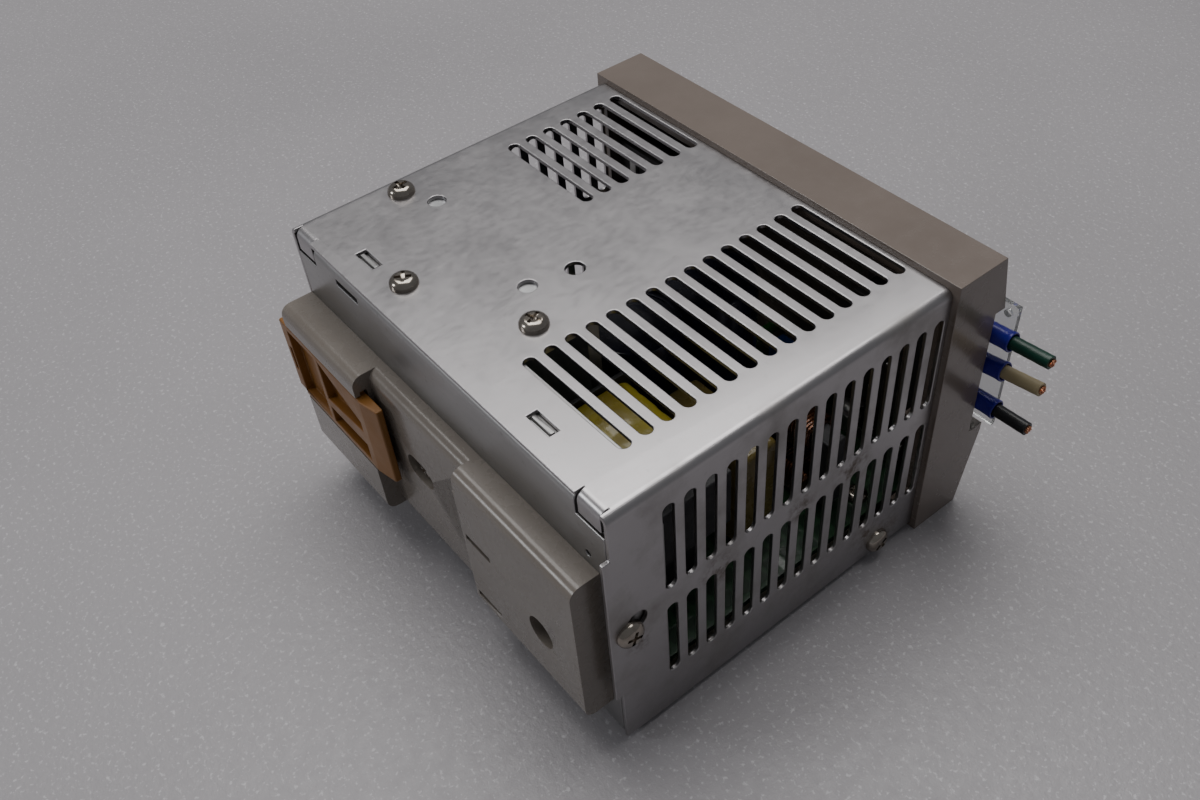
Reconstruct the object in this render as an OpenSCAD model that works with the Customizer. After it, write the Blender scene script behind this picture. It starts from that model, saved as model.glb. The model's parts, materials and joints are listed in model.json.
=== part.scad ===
// DIN rail power supply, lying on one of its two large panels.
// The front with the terminals faces -Y, the rail adapter faces +Y, and the wires leave towards -X.
// Inside the modules X runs from the wire side, Y from the back plane and Z from the lower panel;
// place() then moves everything so that the whole box is centred over the origin.

/* [Case] */
// Length of the case from the wire side to the far side
case_h = 110; // [104:1:140]
// Depth of the sheet metal case from its back to the front cover
case_d = 86; // [86:1:110]
// Width of the case between its two large panels
case_w = 70; // [66:1:90]
// Thickness of the sheet metal
sheet_t = 1; // [0.8:0.1:1.2]
// Outer radius of the bends
bend_r = 2; // [1.6:0.1:3]
// Gap between sheets or shells that lie on each other
sheet_gap = 0.15; // [0.1:0.05:0.3]
// Depth of the flange that the back wall turns under the vented panel
flange_d = 13; // [10:0.5:14]
// Height of the lips that the lower panel turns up along its sides
lip_h = 7; // [6:0.5:7.5]
// How far the rear edge of each narrow side stands behind the back wall
rear_lip = 1.7; // [0:0.1:2.5]

/* [Vents] */
// Width of every vent slot
slot_w = 2.8; // [2:0.1:3.4]
// Distance from one slot to the next
slot_pitch = 5; // [4:0.1:5]
// Number of slots in a full row
slot_count = 15; // [8:1:15]
// Distance from the back plane to the first slot
first_slot = 13.3; // [12:0.1:14]
// Distance from the wire side to the long slots
long_start = 10.5; // [6:0.5:14]
// Length of the long slots
long_len = 30.3; // [20:0.1:34]
// Number of short slots, counted from the front
short_count = 7; // [3:1:9]
// Distance from the far side to the short slots
short_end = 7.8; // [5:0.1:12]
// Length of the short slots
short_len = 29.8; // [20:0.1:34]
// Drop from the vented panel to the upper side slots
upper_drop = 6.2; // [5:0.1:8]
// Length of the upper side slots
upper_len = 23.9; // [16:0.1:25]
// Drop from the vented panel to the lower side slots
lower_drop = 35.5; // [33:0.1:37]
// Length of the lower side slots
lower_len = 22.3; // [14:0.1:23]

/* [Front cover] */
// How far the cover stands proud of the case all round
cover_rim = 1.5; // [0.8:0.1:2.5]
// Depth of the cover at its long edges
rim_d = 14; // [12:0.5:18]
// Depth of the cover at its raised middle
nose_d = 18.5; // [18:0.5:22]
// Width of the sloping band along each long edge
slope_w = 21.5; // [16:0.5:24]
// Wall thickness of the cover
cover_wall = 2; // [1.5:0.1:2.5]
// Depth of the skirt that slides into the case
skirt_d = 6; // [4:0.5:7]

/* [Terminals] */
// Distance from one terminal to the next
pole_pitch = 9.5; // [9:0.1:9.5]
// Number of input terminals
input_poles = 3; // [2:1:3]
// Number of output terminals
output_poles = 4; // [2:1:4]
// Height of the middle input terminal above the lower panel
input_mid = 39.5; // [38:0.5:42]
// Width of the well of the input terminals
input_well = 35; // [31:0.5:36]
// Height of the middle of the output terminals above the lower panel
output_mid = 35; // [33:0.5:37]
// Distance from the end of the case to the terminal screws
screw_in = 11; // [10:0.5:12]
// Length of each terminal well from the end of the case
well_len = 27.5; // [27.5:0.5:30]
// Radius of the hinge pins of the terminal covers
cover_pin_r = 0.75; // [0.6:0.05:0.8]
// Radial clearance of the pins and of the trimmer
running_gap = 0.05; // [0.03:0.01:0.1]
// Thickness of the clear covers
clear_t = 1.2; // [1:0.1:1.5]
// How far the clear covers reach past the ends of the case
clear_over = 3.6; // [2:0.1:5]

/* [Wires] */
// Outer diameter of the wire insulation
wire_d = 3.1; // [2.4:0.1:3.2]
// Outer diameter of the copper
copper_d = 1.9; // [1.2:0.1:2]
// Outer diameter of the blue sleeves
sleeve_d = 4.6; // [4.2:0.1:4.6]
// How far the cut wires reach past the case
wire_out = 15.5; // [10:0.5:30]
// How far the sleeves reach past the case
sleeve_out = 5.5; // [5:0.5:9]

/* [Rail adapter] */
// Width of the mounting rail
rail_w = 35; // [35:0.1:35.5]
// Thickness of the edges of the mounting rail
rail_t = 1; // [1:0.1:1.5]
// Room across the rail in its channel
rail_play = 0.5; // [0.3:0.1:0.8]
// Room over the edges of the rail
rail_over = 0.3; // [0.2:0.1:0.5]
// Distance from the wire side to the channel
channel_start = 41.5; // [38:0.5:44]
// Thickness of the adapter under the rail
floor_t = 4.4; // [4.2:0.1:5]
// Height of the block on the wire side
near_t = 7; // [6.8:0.1:8]
// Height of the block that carries the latch
far_t = 8.4; // [8.2:0.1:9]
// How far the fixed hook reaches over the rail
hook_reach = 2; // [1:0.1:3]
// How far the latch jaw reaches over the rail
jaw_reach = 6.7; // [4:0.1:6.7]
// Distance from the wire side to the near end of the adapter
adapter_inset = 3.5; // [2:0.5:5]
// Drop from the vented panel to the adapter
adapter_drop = 17.5; // [16:0.5:19]
// Width of the adapter along the rail
adapter_w = 42; // [40:0.5:44]
// Rounding of the long outer edges of the adapter
adapter_round = 2.6; // [0.5:0.1:3]

/* [Latch] */
// Width of the latch along the rail
latch_w = 22; // [20:0.5:24]
// Drop from the vented panel to the latch
latch_drop = 23; // [22:0.5:25]
// How far the latch travels to let go of the rail
latch_travel = 7; // [6.8:0.1:7.5]
// How far the tip of the latch stands past the case
latch_over = 2.5; // [1:0.1:4]
// Sliding clearance round the latch
slide_gap = 0.25; // [0.15:0.05:0.3]
// Width of the ribs that the latch slides on
rib_w = 1; // [0.8:0.1:1.5]
// Height of the ribs that the latch slides on
rib_t = 1.2; // [1:0.1:1.3]
// Outer diameter of the latch spring
spring_d = 2.4; // [2:0.1:2.4]
// Wire diameter of the latch spring
spring_wire = 0.4; // [0.3:0.05:0.45]
// Length of the latch spring when the latch is closed
spring_len = 11; // [11:0.5:13]

/* [Circuit board] */
// Height of the board above the lower panel
board_z = 8; // [8:0.5:10]
// Thickness of the board
board_t = 1.6; // [1.2:0.1:2]
// Distance from the board to the narrow sides
board_side = 4; // [3.5:0.5:6]
// Distance from the back plane to the board
board_back = 5; // [4:0.5:6]
// How far the board runs into the front cover
board_front = 10; // [8:0.5:11]
// Thickness of the insulating sheet under the board
liner_t = 0.3; // [0.2:0.1:0.5]
// Distance of the board screws from the narrow sides
stud_side = 9; // [8:0.5:10]
// Radius of the board pillars
stud_r = 2.8; // [2.5:0.1:3]

/* [Parts on the board] */
// Thickness of the aluminium heat sink
sink_t = 3; // [2:0.5:4]
// Length of the transformer
trafo_l = 29; // [24:1:29]
// Width of the transformer
trafo_w = 30; // [26:1:30]
// Height of the transformer
trafo_h = 46; // [30:1:50]
// Diameter of the input capacitors
in_cap_d = 22; // [18:1:22]
// Height of the input capacitors
in_cap_h = 38; // [30:1:42]
// Diameter of the output capacitors
out_cap_d = 12.5; // [10:0.5:12.5]
// Height of the output capacitors
out_cap_h = 18; // [14:1:20]
// Outer radius of the output choke
choke_r = 10.5; // [8:0.5:10.5]
// Distance from the wire side to the trimmer
trimmer_x = 48; // [44:1:52]
// Distance from the wire side to the indicator lamp
lamp_x = 60; // [58:1:66]

/* [Fasteners] */
// Head diameter of the case screws
head_d = 6.2; // [5.5:0.1:6.4]
// Head height of the case screws
head_h = 2.2; // [1.8:0.1:2.4]
// Shank diameter of the screws
shank_d = 3; // [2.5:0.1:3]
// Radial clearance between a screw and the hole that it sits in
thread_gap = 0.05; // [0.03:0.01:0.1]

/* [Hidden] */
$fn = 48;
// How far every cut runs past the faces that it opens
over = 1;

inner_h = case_h - 2 * sheet_t;
under_top = case_w - sheet_t - sheet_gap;
channel_w = rail_w + rail_play;
channel_end = channel_start + channel_w;
rail_top = floor_t + rail_t + rail_over;
adapter_hi = case_w - adapter_drop;
adapter_lo = adapter_hi - adapter_w;
adapter_end = case_h - sheet_t - sheet_gap;
latch_hi = case_w - latch_drop;
latch_lo = latch_hi - latch_w;
latch_mid = latch_hi - latch_w / 2;
latch_y = rail_top;
front_y = case_d + rim_d;
nose_y = case_d + nose_d;
board_top = board_z + board_t;
board_end = case_d + board_front;
vents_end = first_slot + (slot_count - 1) * slot_pitch + slot_w / 2 + 0.5;

// Terminals: the block face is the floor of the well, and the wires lie on it
wire_y = front_y + 0.2 + sleeve_d / 2;
tongue_t = 0.8;
plate_t = 1;
block_back = case_d + 2;
well_wall = 1.5;
barrel_r = 1.3;
hinge_in = 22;
hinge_y = front_y + 0.2 + barrel_r;
clear_y = nose_y + 0.5;
wire_tilt = [4.4, 7.9, 1.4];
wire_short = [0, 0.3, 1.2];

// Latch spring pocket
lug_x = channel_end + 5;
lug_l = 2;
lug_w = 2.6;
pocket_gap = 0.5;
spring_y = latch_y - slide_gap - spring_d / 2;

// Places of the case screws, as distance from the wire side and from the back
flange_screw = [75.7, 8];
sink_screw_near = [47.5, 20.1];
sink_screw_far = [case_h - 6.2, 24.6];
rear_side_screw = [2.6, 35.5];
front_side_screw = [case_d - 12.5, 3.9];
near_adapter_screw = [16, case_w - 43];
mid_adapter_screw = [62, case_w - 36.5];

// Heat sink
sink_start = 43;
sink_back = 16;
sink_front = 32;
sink_z = 14;
device_x = [50, 72, 93];
device_t = 5;
device_z = [22, 42];

// Parts on the board
trafo_at = [13.5 + trafo_l / 2, 11 + trafo_w / 2];
in_cap_at = [[56, 50.5], [56, 73.5]];
out_cap_at = [[case_h - 22, 66], [case_h - 22, 79.5], [case_h - 35, 66]];
out_choke_at = [case_h - 22, 48.5];
studs = [for (x = [stud_side, case_h - stud_side], y = [10, case_d - 10]) [x, y]];

function pole_z(mid, poles, i) = mid + ((poles - 1) / 2 - i) * pole_pitch;
output_well = output_poles * pole_pitch + well_wall;

// The whole box runs from the wire tips to the far cover, and from the clear covers to the rail blocks
low_x = -wire_out;
high_x = case_h + max(cover_rim, clear_over, latch_over);
module place()
    translate([-(low_x + high_x) / 2, (clear_y + clear_t - far_t) / 2, cover_rim]) children();

// A point at x along the case, b forward of the back plane and z up
module at(x, b, z = 0) translate([x, -b, z]) children();
// Stand a flat outline in the YZ plane and run it along X
module along_x(len) rotate([90, 0, 90]) linear_extrude(len) children();
// Stand a flat outline in the XZ plane and run it forward
module forward(len) rotate([90, 0, 0]) linear_extrude(len) children();
// A box from one corner to the opposite one, with b measured forward of the back plane
module block(x, b, z)
    translate([x[0], -b[1], z[0]]) cube([x[1] - x[0], b[1] - b[0], z[1] - z[0]]);
// A slot with round ends, from p to q along the first axis
module slot_outline(p, q, w) {
    translate([p + w / 2, -w / 2]) square([q - p - w, w]);
    translate([p + w / 2, 0]) circle(d = w);
    translate([q - w / 2, 0]) circle(d = w);
}
module round_box(w, l, r) {
    translate([-w / 2 + r, -l / 2]) square([w - 2 * r, l]);
    translate([-w / 2, -l / 2 + r]) square([w, l - 2 * r]);
    for (x = [-1, 1], y = [-1, 1]) translate([x * (w / 2 - r), y * (l / 2 - r)]) circle(r);
}

// Domed head on the +Z side of the seat, shank below it
module screw(head, height, shank, len) {
    dome_r = (head * head / 4 + height * height) / (2 * height);
    difference() {
        union() {
            intersection() {
                cylinder(d = head, h = height);
                translate([0, 0, height - dome_r * 1.25]) sphere(dome_r * 1.25);
            }
            translate([0, 0, -len]) cylinder(d = shank, h = len);
        }
        for (a = [0, 90]) rotate(a) translate([-head * 0.3, -head * 0.06, height * 0.4])
            cube([head * 0.6, head * 0.12, height]);
    }
}

// --- sheet metal ---------------------------------------------------------

// The U of the vented cover, seen along Y
module cover_u(inset, r) {
    w = case_h - 2 * inset;
    translate([inset, 0]) {
        translate([0, -inset]) square([w, case_w - r]);
        translate([r, -inset]) square([w - 2 * r, case_w]);
        for (x = [r, w - r]) translate([x, case_w - inset - r]) circle(r);
    }
}

module side_slots() {
    for (i = [0 : slot_count - 1]) translate([-over, -first_slot - i * slot_pitch, 0])
        along_x(case_h + 2 * over) for (row = [[upper_drop, upper_len], [lower_drop, lower_len]])
            rotate(90) slot_outline(case_w - row[0] - row[1], case_w - row[0], slot_w);
}

module top_slots() {
    for (i = [0 : slot_count - 1]) at(0, first_slot + i * slot_pitch, case_w - 2 * sheet_t)
        linear_extrude(3 * sheet_t) slot_outline(long_start, long_start + long_len, slot_w);
    for (i = [slot_count - short_count : slot_count - 1])
        at(0, first_slot + i * slot_pitch, case_w - 2 * sheet_t) linear_extrude(3 * sheet_t)
            slot_outline(case_h - short_end - short_len, case_h - short_end, slot_w);
}

// Keyhole under a side screw: the head passes the wide end and clamps on the narrow one
module keyhole() {
    circle(d = shank_d + 0.4);
    translate([-2.2, 1.8]) circle(2.4);
    polygon([[-1.7, 0], [1.5, 0.8], [0.2, 1.8], [-4.4, 1.2]]);
}

// Tabs that the vented panel turns down inside the two upper rear corners
tab_len = 6.4;
tab_drop = 5.2;
tab_in = 0.15;
tab_x = [bend_r, case_h - bend_r - tab_len];
module corner_tab(x) {
    translate([x, 0, 0]) along_x(tab_len) {
        translate([-tab_in - bend_r, case_w - bend_r]) intersection() {
            difference() {
                circle(bend_r);
                circle(bend_r - sheet_t);
            }
            square(bend_r);
        }
        translate([-tab_in - sheet_t, case_w - tab_drop]) square([sheet_t, tab_drop - bend_r]);
    }
}

module vented_cover() {
    tab_slots = [[87.8, 6.8], [25.1, 5.7]];
    top_holes = [[95.5, 28.6, 2], [58, 26.1, 2], [56, 36.6, 2.1]];
    color("silver") place() difference() {
        union() {
            difference() {
                forward(case_d) cover_u(0, bend_r);
                translate([0, over, 0]) forward(case_d + 2 * over) cover_u(sheet_t, bend_r - sheet_t);
                block([sheet_t, case_h - sheet_t], [-over, case_d + over], [-3, case_w / 2]);
                for (x = tab_x)
                    block([x - 0.15, x + tab_len + 0.15], [-over, tab_in + bend_r], [case_w - 2, case_w + over]);
            }
            block([0, sheet_t], [-rear_lip, 1], [case_w - 54, case_w - 11]);
            for (x = tab_x) corner_tab(x);
        }
        top_slots();
        side_slots();
        for (s = [flange_screw, sink_screw_near, sink_screw_far])
            at(s[0], s[1], case_w - 2 * sheet_t) cylinder(d = shank_d + 0.4, h = 3 * sheet_t);
        for (h = top_holes) at(h[0], h[1], case_w - 2 * sheet_t) cylinder(r = h[2], h = 3 * sheet_t);
        for (s = tab_slots)
            block([s[0] - 3.4, s[0] + 3.4], [s[1] - 1.2, s[1] + 1.2], [case_w - 2, case_w + over]);
        for (side = [0, 1]) translate([side * case_h, 0, 0]) mirror([side, 0, 0])
            for (s = [rear_side_screw, front_side_screw])
                translate([-over, -s[0], s[1]]) along_x(sheet_t + 2 * over)
                    if (s == rear_side_screw) keyhole(); else circle(d = shank_d + 0.4);
    }
}

// Lower panel, back wall and top flange as one bent strip, seen along X
module chassis_strip(inset, r) {
    hi = under_top - inset;
    translate([-case_d, inset]) square([case_d - inset - r, hi - inset]);
    translate([-case_d, inset + r]) square([case_d - inset, hi - inset - 2 * r]);
    for (z = [inset + r, hi - r]) translate([-inset - r, z]) circle(r);
}

module chassis() {
    x0 = sheet_t + sheet_gap;
    x1 = case_h - x0;
    notch = 8;
    tabs = [87.8, 25.1];
    hook_tab = [[6.3, 7.3], [5.2, 6.2]];
    color("gainsboro") place() difference() {
        union() {
            difference() {
                translate([x0, 0, 0]) along_x(x1 - x0) chassis_strip(0, bend_r);
                translate([x0 - over, 0, 0]) along_x(x1 - x0 + 2 * over)
                    chassis_strip(sheet_t, bend_r - sheet_t);
                block([x0 - over, x1 + over], [flange_d, case_d + over], [sheet_t + 5, case_w]);
            }
            for (side = [0, 1]) translate([side * case_h, 0, 0]) mirror([side, 0, 0]) {
                block([x0, x0 + sheet_t], [0.5, flange_d], [0.5, case_w - 12]);
                block([x0, x0 + sheet_t], [flange_d, case_d - skirt_d - 1], [0.5, lip_h]);
            }
            for (i = [0, 1])
                block([tabs[i] - 3, tabs[i] + 3], hook_tab[i], [under_top - 0.5, case_w - 0.3]);
        }
        // relief notches at the two upper rear corners
        for (x = [[x0 - over, x0 + notch], [x1 - notch, x1 + over]])
            block(x, [-over, flange_d + over], [case_w - 6, case_w]);
        // slit and pin hole high on the back wall
        block([case_h - 27, case_h - 18], [-over, 2 * sheet_t], [case_w - 5.6, case_w - 4]);
        at(6.6, -over, case_w - 14.7) forward(3 * over) circle(0.7);
        at(flange_screw[0], flange_screw[1], under_top - 2 * sheet_t)
            cylinder(r = shank_d / 2 + thread_gap, h = 3 * sheet_t);
        for (s = [rear_side_screw, front_side_screw])
            translate([0, -s[0], s[1]]) along_x(case_h) circle(r = shank_d / 2 + thread_gap);
        for (s = [near_adapter_screw, mid_adapter_screw])
            translate([s[0], over, s[1]]) forward(3 * over) circle(r = shank_d / 2 + thread_gap);
    }
}

// --- front cover ---------------------------------------------------------

// Section of the front cover along the case: flat rim, two sloping bands and a raised middle
module nose_outline(inset, back) {
    polygon([[-back, inset - cover_rim], [inset - front_y, inset - cover_rim],
        [inset - nose_y, slope_w - cover_rim], [inset - nose_y, case_w + cover_rim - slope_w],
        [inset - front_y, case_w + cover_rim - inset], [-back, case_w + cover_rim - inset]]);
}

module well_shroud(mid, w) {
    difference() {
        block([0, well_len + well_wall], [front_y - 6, nose_y - cover_wall / 2],
            [mid - w / 2 - well_wall, mid + w / 2 + well_wall]);
        block([-over, well_len], [0, nose_y + over], [mid - w / 2, mid + w / 2]);
    }
}

module well_cut(mid, w) {
    block([-cover_rim - over, well_len], [front_y, nose_y + over], [mid - w / 2, mid + w / 2]);
    at(hinge_in, hinge_y, mid - w / 2 - 1.3)
        cylinder(r = cover_pin_r + running_gap, h = w + 2.6);
}

module front_cover() {
    gap = sheet_t + sheet_gap;
    skirt_t = 1.5;
    in = gap + skirt_t;
    color("rosybrown") place() difference() {
        union() {
            difference() {
                union() {
                    translate([-cover_rim, 0, 0]) along_x(case_h + 2 * cover_rim) nose_outline(0, case_d);
                    at(case_h / 2, case_d - skirt_d, case_w / 2) forward(skirt_d + 1)
                        round_box(case_h - 2 * gap, case_w - 2 * gap, bend_r);
                }
                translate([cover_wall - cover_rim, 0, 0]) along_x(case_h + 2 * cover_rim - 2 * cover_wall)
                    nose_outline(cover_wall, block_back);
                block([in, case_h - in], [case_d - skirt_d - over, block_back + over], [in, case_w - in]);
                // the skirt keeps clear of the last row of vents
                for (x = [[long_start, long_start + long_len], [case_h - short_end - short_len, case_h - short_end]])
                    block([x[0] - 1, x[1] + 1], [case_d - skirt_d - over, vents_end], [case_w - in, case_w]);
                for (row = [[upper_drop, upper_len], [lower_drop, lower_len]])
                    for (x = [[0, in], [case_h - in, case_h]])
                        block(x, [case_d - skirt_d - over, vents_end],
                            [case_w - row[0] - row[1] - 1, case_w - row[0] + 1]);
            }
            intersection() {
                union() {
                    well_shroud(input_mid, input_well);
                    translate([case_h, 0, 0]) mirror([1, 0, 0]) well_shroud(output_mid, output_well);
                }
                along_x(case_h) nose_outline(1, case_d);
            }
        }
        well_cut(input_mid, input_well);
        translate([case_h, 0, 0]) mirror([1, 0, 0]) well_cut(output_mid, output_well);
        translate([trimmer_x, -front_y + 4, board_top + 5]) forward(nose_d) circle(2.6);
        translate([lamp_x, -front_y + 4, board_top + 5]) forward(nose_d) circle(1.6 + sheet_gap);
    }
}

module front_label() {
    color("whitesmoke") place() translate([case_h / 2, -nose_y, case_w / 2]) forward(0.25)
        round_box(42, 22, 2);
}

// --- terminals -----------------------------------------------------------

// Block with one bay per terminal, for the end of the case at x = 0
module terminal_block(mid, poles) {
    w = poles * pole_pitch;
    barrier = 1.4;
    difference() {
        union() {
            block([3, well_len - 1.5], [block_back, front_y], [mid - w / 2, mid + w / 2]);
            for (i = [1 : poles - 1]) {
                z = mid - w / 2 + i * pole_pitch;
                block([3, 17.5], [front_y - over, nose_y - 1], [z - barrier / 2, z + barrier / 2]);
            }
        }
        for (i = [0 : poles - 1]) at(screw_in, front_y + over, pole_z(mid, poles, i)) rotate([-90, 0, 0])
            cylinder(r = shank_d / 2 + thread_gap, h = 9);
    }
}

module input_terminal_block() {
    color("dimgray") place() terminal_block(input_mid, input_poles);
}

module output_terminal_block() {
    color("dimgray") place() translate([case_h, 0, 0]) mirror([1, 0, 0])
        terminal_block(output_mid, output_poles);
}

// Children once per terminal, facing the front at the screw axis
module each_terminal(seat_in, seat_out) {
    for (i = [0 : input_poles - 1])
        at(screw_in, front_y + seat_in, pole_z(input_mid, input_poles, i)) rotate([90, 0, 0]) children();
    for (i = [0 : output_poles - 1])
        at(case_h - screw_in, front_y + seat_out, pole_z(output_mid, output_poles, i)) rotate([90, 0, 0])
            children();
}

module terminal_plates() {
    side = 6.4;
    color("lightgray") place() each_terminal(tongue_t, 0) difference() {
        translate([-side / 2, -side / 2, 0]) cube([side, side, plate_t]);
        translate([0, 0, -over]) cylinder(r = shank_d / 2 + thread_gap, h = plate_t + 2 * over);
    }
}

module terminal_screws() {
    color("silver") place() each_terminal(tongue_t + plate_t, plate_t)
        screw(6, 2.1, shank_d, 7.5);
}

// Flat leads from the back of each block down to the board
module terminal_links() {
    color("peru") place() {
        for (i = [0 : input_poles - 1])
            block([8 + 4 * i, 10.4 + 4 * i], [block_back - 0.8, block_back],
                [board_top, pole_z(input_mid, input_poles, i) + 1]);
        for (i = [0 : output_poles - 1])
            block([case_h - 10.4 - 3.6 * i, case_h - 8 - 3.6 * i], [block_back - 0.8, block_back],
                [board_top, pole_z(output_mid, output_poles, i) + 1]);
    }
}

// Clear cover with a hinge barrel at its inner edge, for the end of the case at x = 0
module clear_cover(mid, poles, well) {
    w = well - 0.6;
    difference() {
        union() {
            at(hinge_in, hinge_y, mid - w / 2) cylinder(r = barrel_r, h = w);
            at(hinge_in, hinge_y, mid - w / 2 - 1.2) cylinder(r = cover_pin_r, h = w + 2.4);
            block([hinge_in - 0.8, hinge_in + 0.8], [hinge_y, clear_y + clear_t], [mid - w / 2, mid + w / 2]);
            block([-clear_over, hinge_in + 0.8], [clear_y, clear_y + clear_t], [mid - w / 2, mid + w / 2]);
        }
        // screwdriver holes over the screws and a finger hole at the outer edge
        for (i = [0 : poles - 1]) at(screw_in, clear_y - over, pole_z(mid, poles, i)) forward(4) circle(1.9);
        at(-1.2, clear_y - over, mid + w / 2 - 2.6) forward(4) circle(0.9);
    }
}

module input_cover() {
    color([0.8, 0.85, 0.85, 0.5]) place() clear_cover(input_mid, input_poles, input_well);
}

module output_cover() {
    color([0.8, 0.85, 0.85, 0.5]) place() translate([case_h, 0, 0]) mirror([1, 0, 0])
        clear_cover(output_mid, output_poles, output_well);
}

// --- wires ---------------------------------------------------------------

// Children in the frame of terminal i: its screw at the origin, turned with its wire
module on_pole(i, y)
    at(screw_in, y, pole_z(input_mid, input_poles, i)) rotate([0, wire_tilt[i], 0])
        translate([-screw_in, 0, 0]) children();
// A tube along wire i from x0 to x1
module on_wire(i, x0, x1, d, bore = 0)
    on_pole(i, wire_y) translate([x0, 0, 0]) rotate([0, 90, 0]) difference() {
        cylinder(d = d, h = x1 - x0);
        if (bore > 0) translate([0, 0, -over]) cylinder(d = bore, h = x1 - x0 + 2 * over);
    }

barrel_d = wire_d + 0.1;
strip_x = -3;

module crimp_terminals() {
    color("silver") place() for (i = [0 : input_poles - 1]) {
        on_pole(i, 0) difference() {
            union() {
                at(screw_in, front_y + tongue_t) rotate([-90, 0, 0]) cylinder(d = 7, h = tongue_t);
                block([4, screw_in], [front_y, front_y + tongue_t], [-2, 2]);
                block([3.6, 5], [front_y, wire_y + 0.6], [-1.4, 1.4]);
            }
            at(screw_in, front_y + 2) rotate([-90, 0, 0]) cylinder(r = shank_d / 2 + thread_gap, h = 4);
        }
        on_wire(i, strip_x + 0.2, 4.2, barrel_d, copper_d + 0.1);
    }
}

module crimp_sleeves() {
    color("mediumblue") place() for (i = [0 : input_poles - 1])
        on_wire(i, -sleeve_out, 3, sleeve_d, barrel_d + 0.1);
}

module insulation(i) on_wire(i, 0.5 + wire_short[i] - wire_out, strip_x, wire_d, copper_d + 0.1);
module wire_green() { color("darkgreen") place() insulation(0); }
module wire_cream() { color("tan") place() insulation(1); }
module wire_black() { color("black") place() insulation(input_poles - 1); }
module wire_strands() {
    color("chocolate") place() for (i = [0 : input_poles - 1])
        on_wire(i, wire_short[i] - wire_out, 3.2, copper_d);
}

// --- rail adapter --------------------------------------------------------

// A block of the adapter between two places along X, its long outer edges rounded
module rail_block(x0, x1, height) {
    r = adapter_round;
    translate([x0, 0, 0]) along_x(x1 - x0) intersection() {
        translate([0, adapter_lo]) square([height, adapter_w]);
        union() {
            translate([0, adapter_lo]) square([height - r, adapter_w]);
            translate([0, adapter_lo + r]) square([height, adapter_w - 2 * r]);
            for (z = [adapter_lo + r, adapter_hi - r]) translate([height - r, z]) circle(r);
        }
    }
}

module rail_adapter() {
    slit_z = [case_w - 36, case_w - 55];
    groove = slide_gap + rib_w;
    color("tan") place() difference() {
        union() {
            rail_block(adapter_inset, adapter_end, floor_t);
            rail_block(adapter_inset, channel_start, near_t);
            rail_block(channel_end, adapter_end, far_t);
            // fixed hook over the near edge of the rail, with a lead-in slope
            translate([0, 0, case_w - 50]) linear_extrude(25)
                polygon([[channel_start - 2, rail_top], [channel_start + hook_reach, rail_top],
                    [channel_start + hook_reach, rail_top + 0.6], [channel_start, near_t],
                    [channel_start - 2, near_t]]);
        }
        // T-shaped track of the latch
        translate([channel_end - over, 0, 0]) along_x(case_h) {
            translate([latch_y - slide_gap, latch_lo - groove])
                square([rib_t + 2 * slide_gap, latch_w + 2 * groove]);
            translate([latch_y - slide_gap, latch_lo - slide_gap])
                square([far_t, latch_w + 2 * slide_gap]);
        }
        // pocket of the latch spring
        block([lug_x - pocket_gap, lug_x + lug_l + spring_len], [-latch_y, -(spring_y - spring_d / 2 - 0.15)],
            [latch_mid - lug_w / 2 - slide_gap, latch_mid + lug_w / 2 + slide_gap]);
        // screw wells
        translate([near_adapter_screw[0], near_t + over, near_adapter_screw[1]]) {
            forward(near_t + 2 * over) circle(r = shank_d / 2 + 0.2);
            forward(near_t + over - 2.2) circle(d = 7.6);
        }
        translate([mid_adapter_screw[0], floor_t + over, mid_adapter_screw[1]]) {
            forward(floor_t + 2 * over) circle(r = shank_d / 2 + 0.2);
            forward(over + floor_t - 1.8) slot_outline(-5, 5, 6.4);
        }
        // two slits in the near block, and lightening pockets open towards the back wall
        for (z = slit_z) block([channel_start - 9.5, channel_start - 1], [-near_t - over, -2.2], [z - 0.8, z + 0.8]);
        for (z = [adapter_lo + 3, adapter_hi - 12])
            block([near_adapter_screw[0] + 7, channel_start - 11], [-near_t + 2, over], [z, z + 9]);
    }
}

module rail_latch() {
    tip = case_h + latch_over;
    rim = 1.6;
    pocket_y = far_t - 2;
    jaw_x = channel_end + 1.5;
    wall_x = channel_end + 18;
    far_x = tip - 3.3;
    low = latch_lo + rim;
    high = latch_hi - rim;
    rib_z = low + 5.4;
    color("goldenrod") place() difference() {
        union() {
            // plate with the wedge-shaped jaw
            translate([0, 0, latch_lo]) linear_extrude(latch_w)
                polygon([[channel_end - jaw_reach, latch_y], [tip, latch_y], [tip, far_t],
                    [channel_end - 1.2, far_t], [channel_end - jaw_reach, latch_y + 1.6]]);
            // ribs that run in the track
            block([channel_end + 1, tip - 7], [-latch_y - rib_t, -latch_y], [latch_lo - rib_w, latch_hi + rib_w]);
            block([lug_x, lug_x + lug_l], [-latch_y - 0.5, -(spring_y - spring_d / 2 + 0.1)],
                [latch_mid - lug_w / 2, latch_mid + lug_w / 2]);
        }
        // one long pocket, a cross wall, and two tapering pockets with a slanting rib between them
        translate([0, far_t + over, 0]) forward(far_t + over - pocket_y) {
            polygon([[wall_x + 1.8, low], [far_x, low], [far_x, high], [wall_x + 1.8, high]]);
            polygon([[wall_x, high], [wall_x, rib_z + 2], [jaw_x, rib_z + 4], [jaw_x, rib_z + 7]]);
            polygon([[wall_x, low], [wall_x, rib_z - 0.6], [jaw_x, rib_z - 0.2], [jaw_x, low]]);
        }
        // slot for the screwdriver that pulls the latch
        block([tip - 2.6, tip - 1.4], [-far_t - over, -latch_y + over], [latch_mid - 3.5, latch_mid + 3.5]);
        // stepped lower corner of the tip
        block([tip - 3, tip + over], [-far_t - over, -latch_y + over], [latch_lo - over, latch_lo + 1.5]);
    }
}

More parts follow.
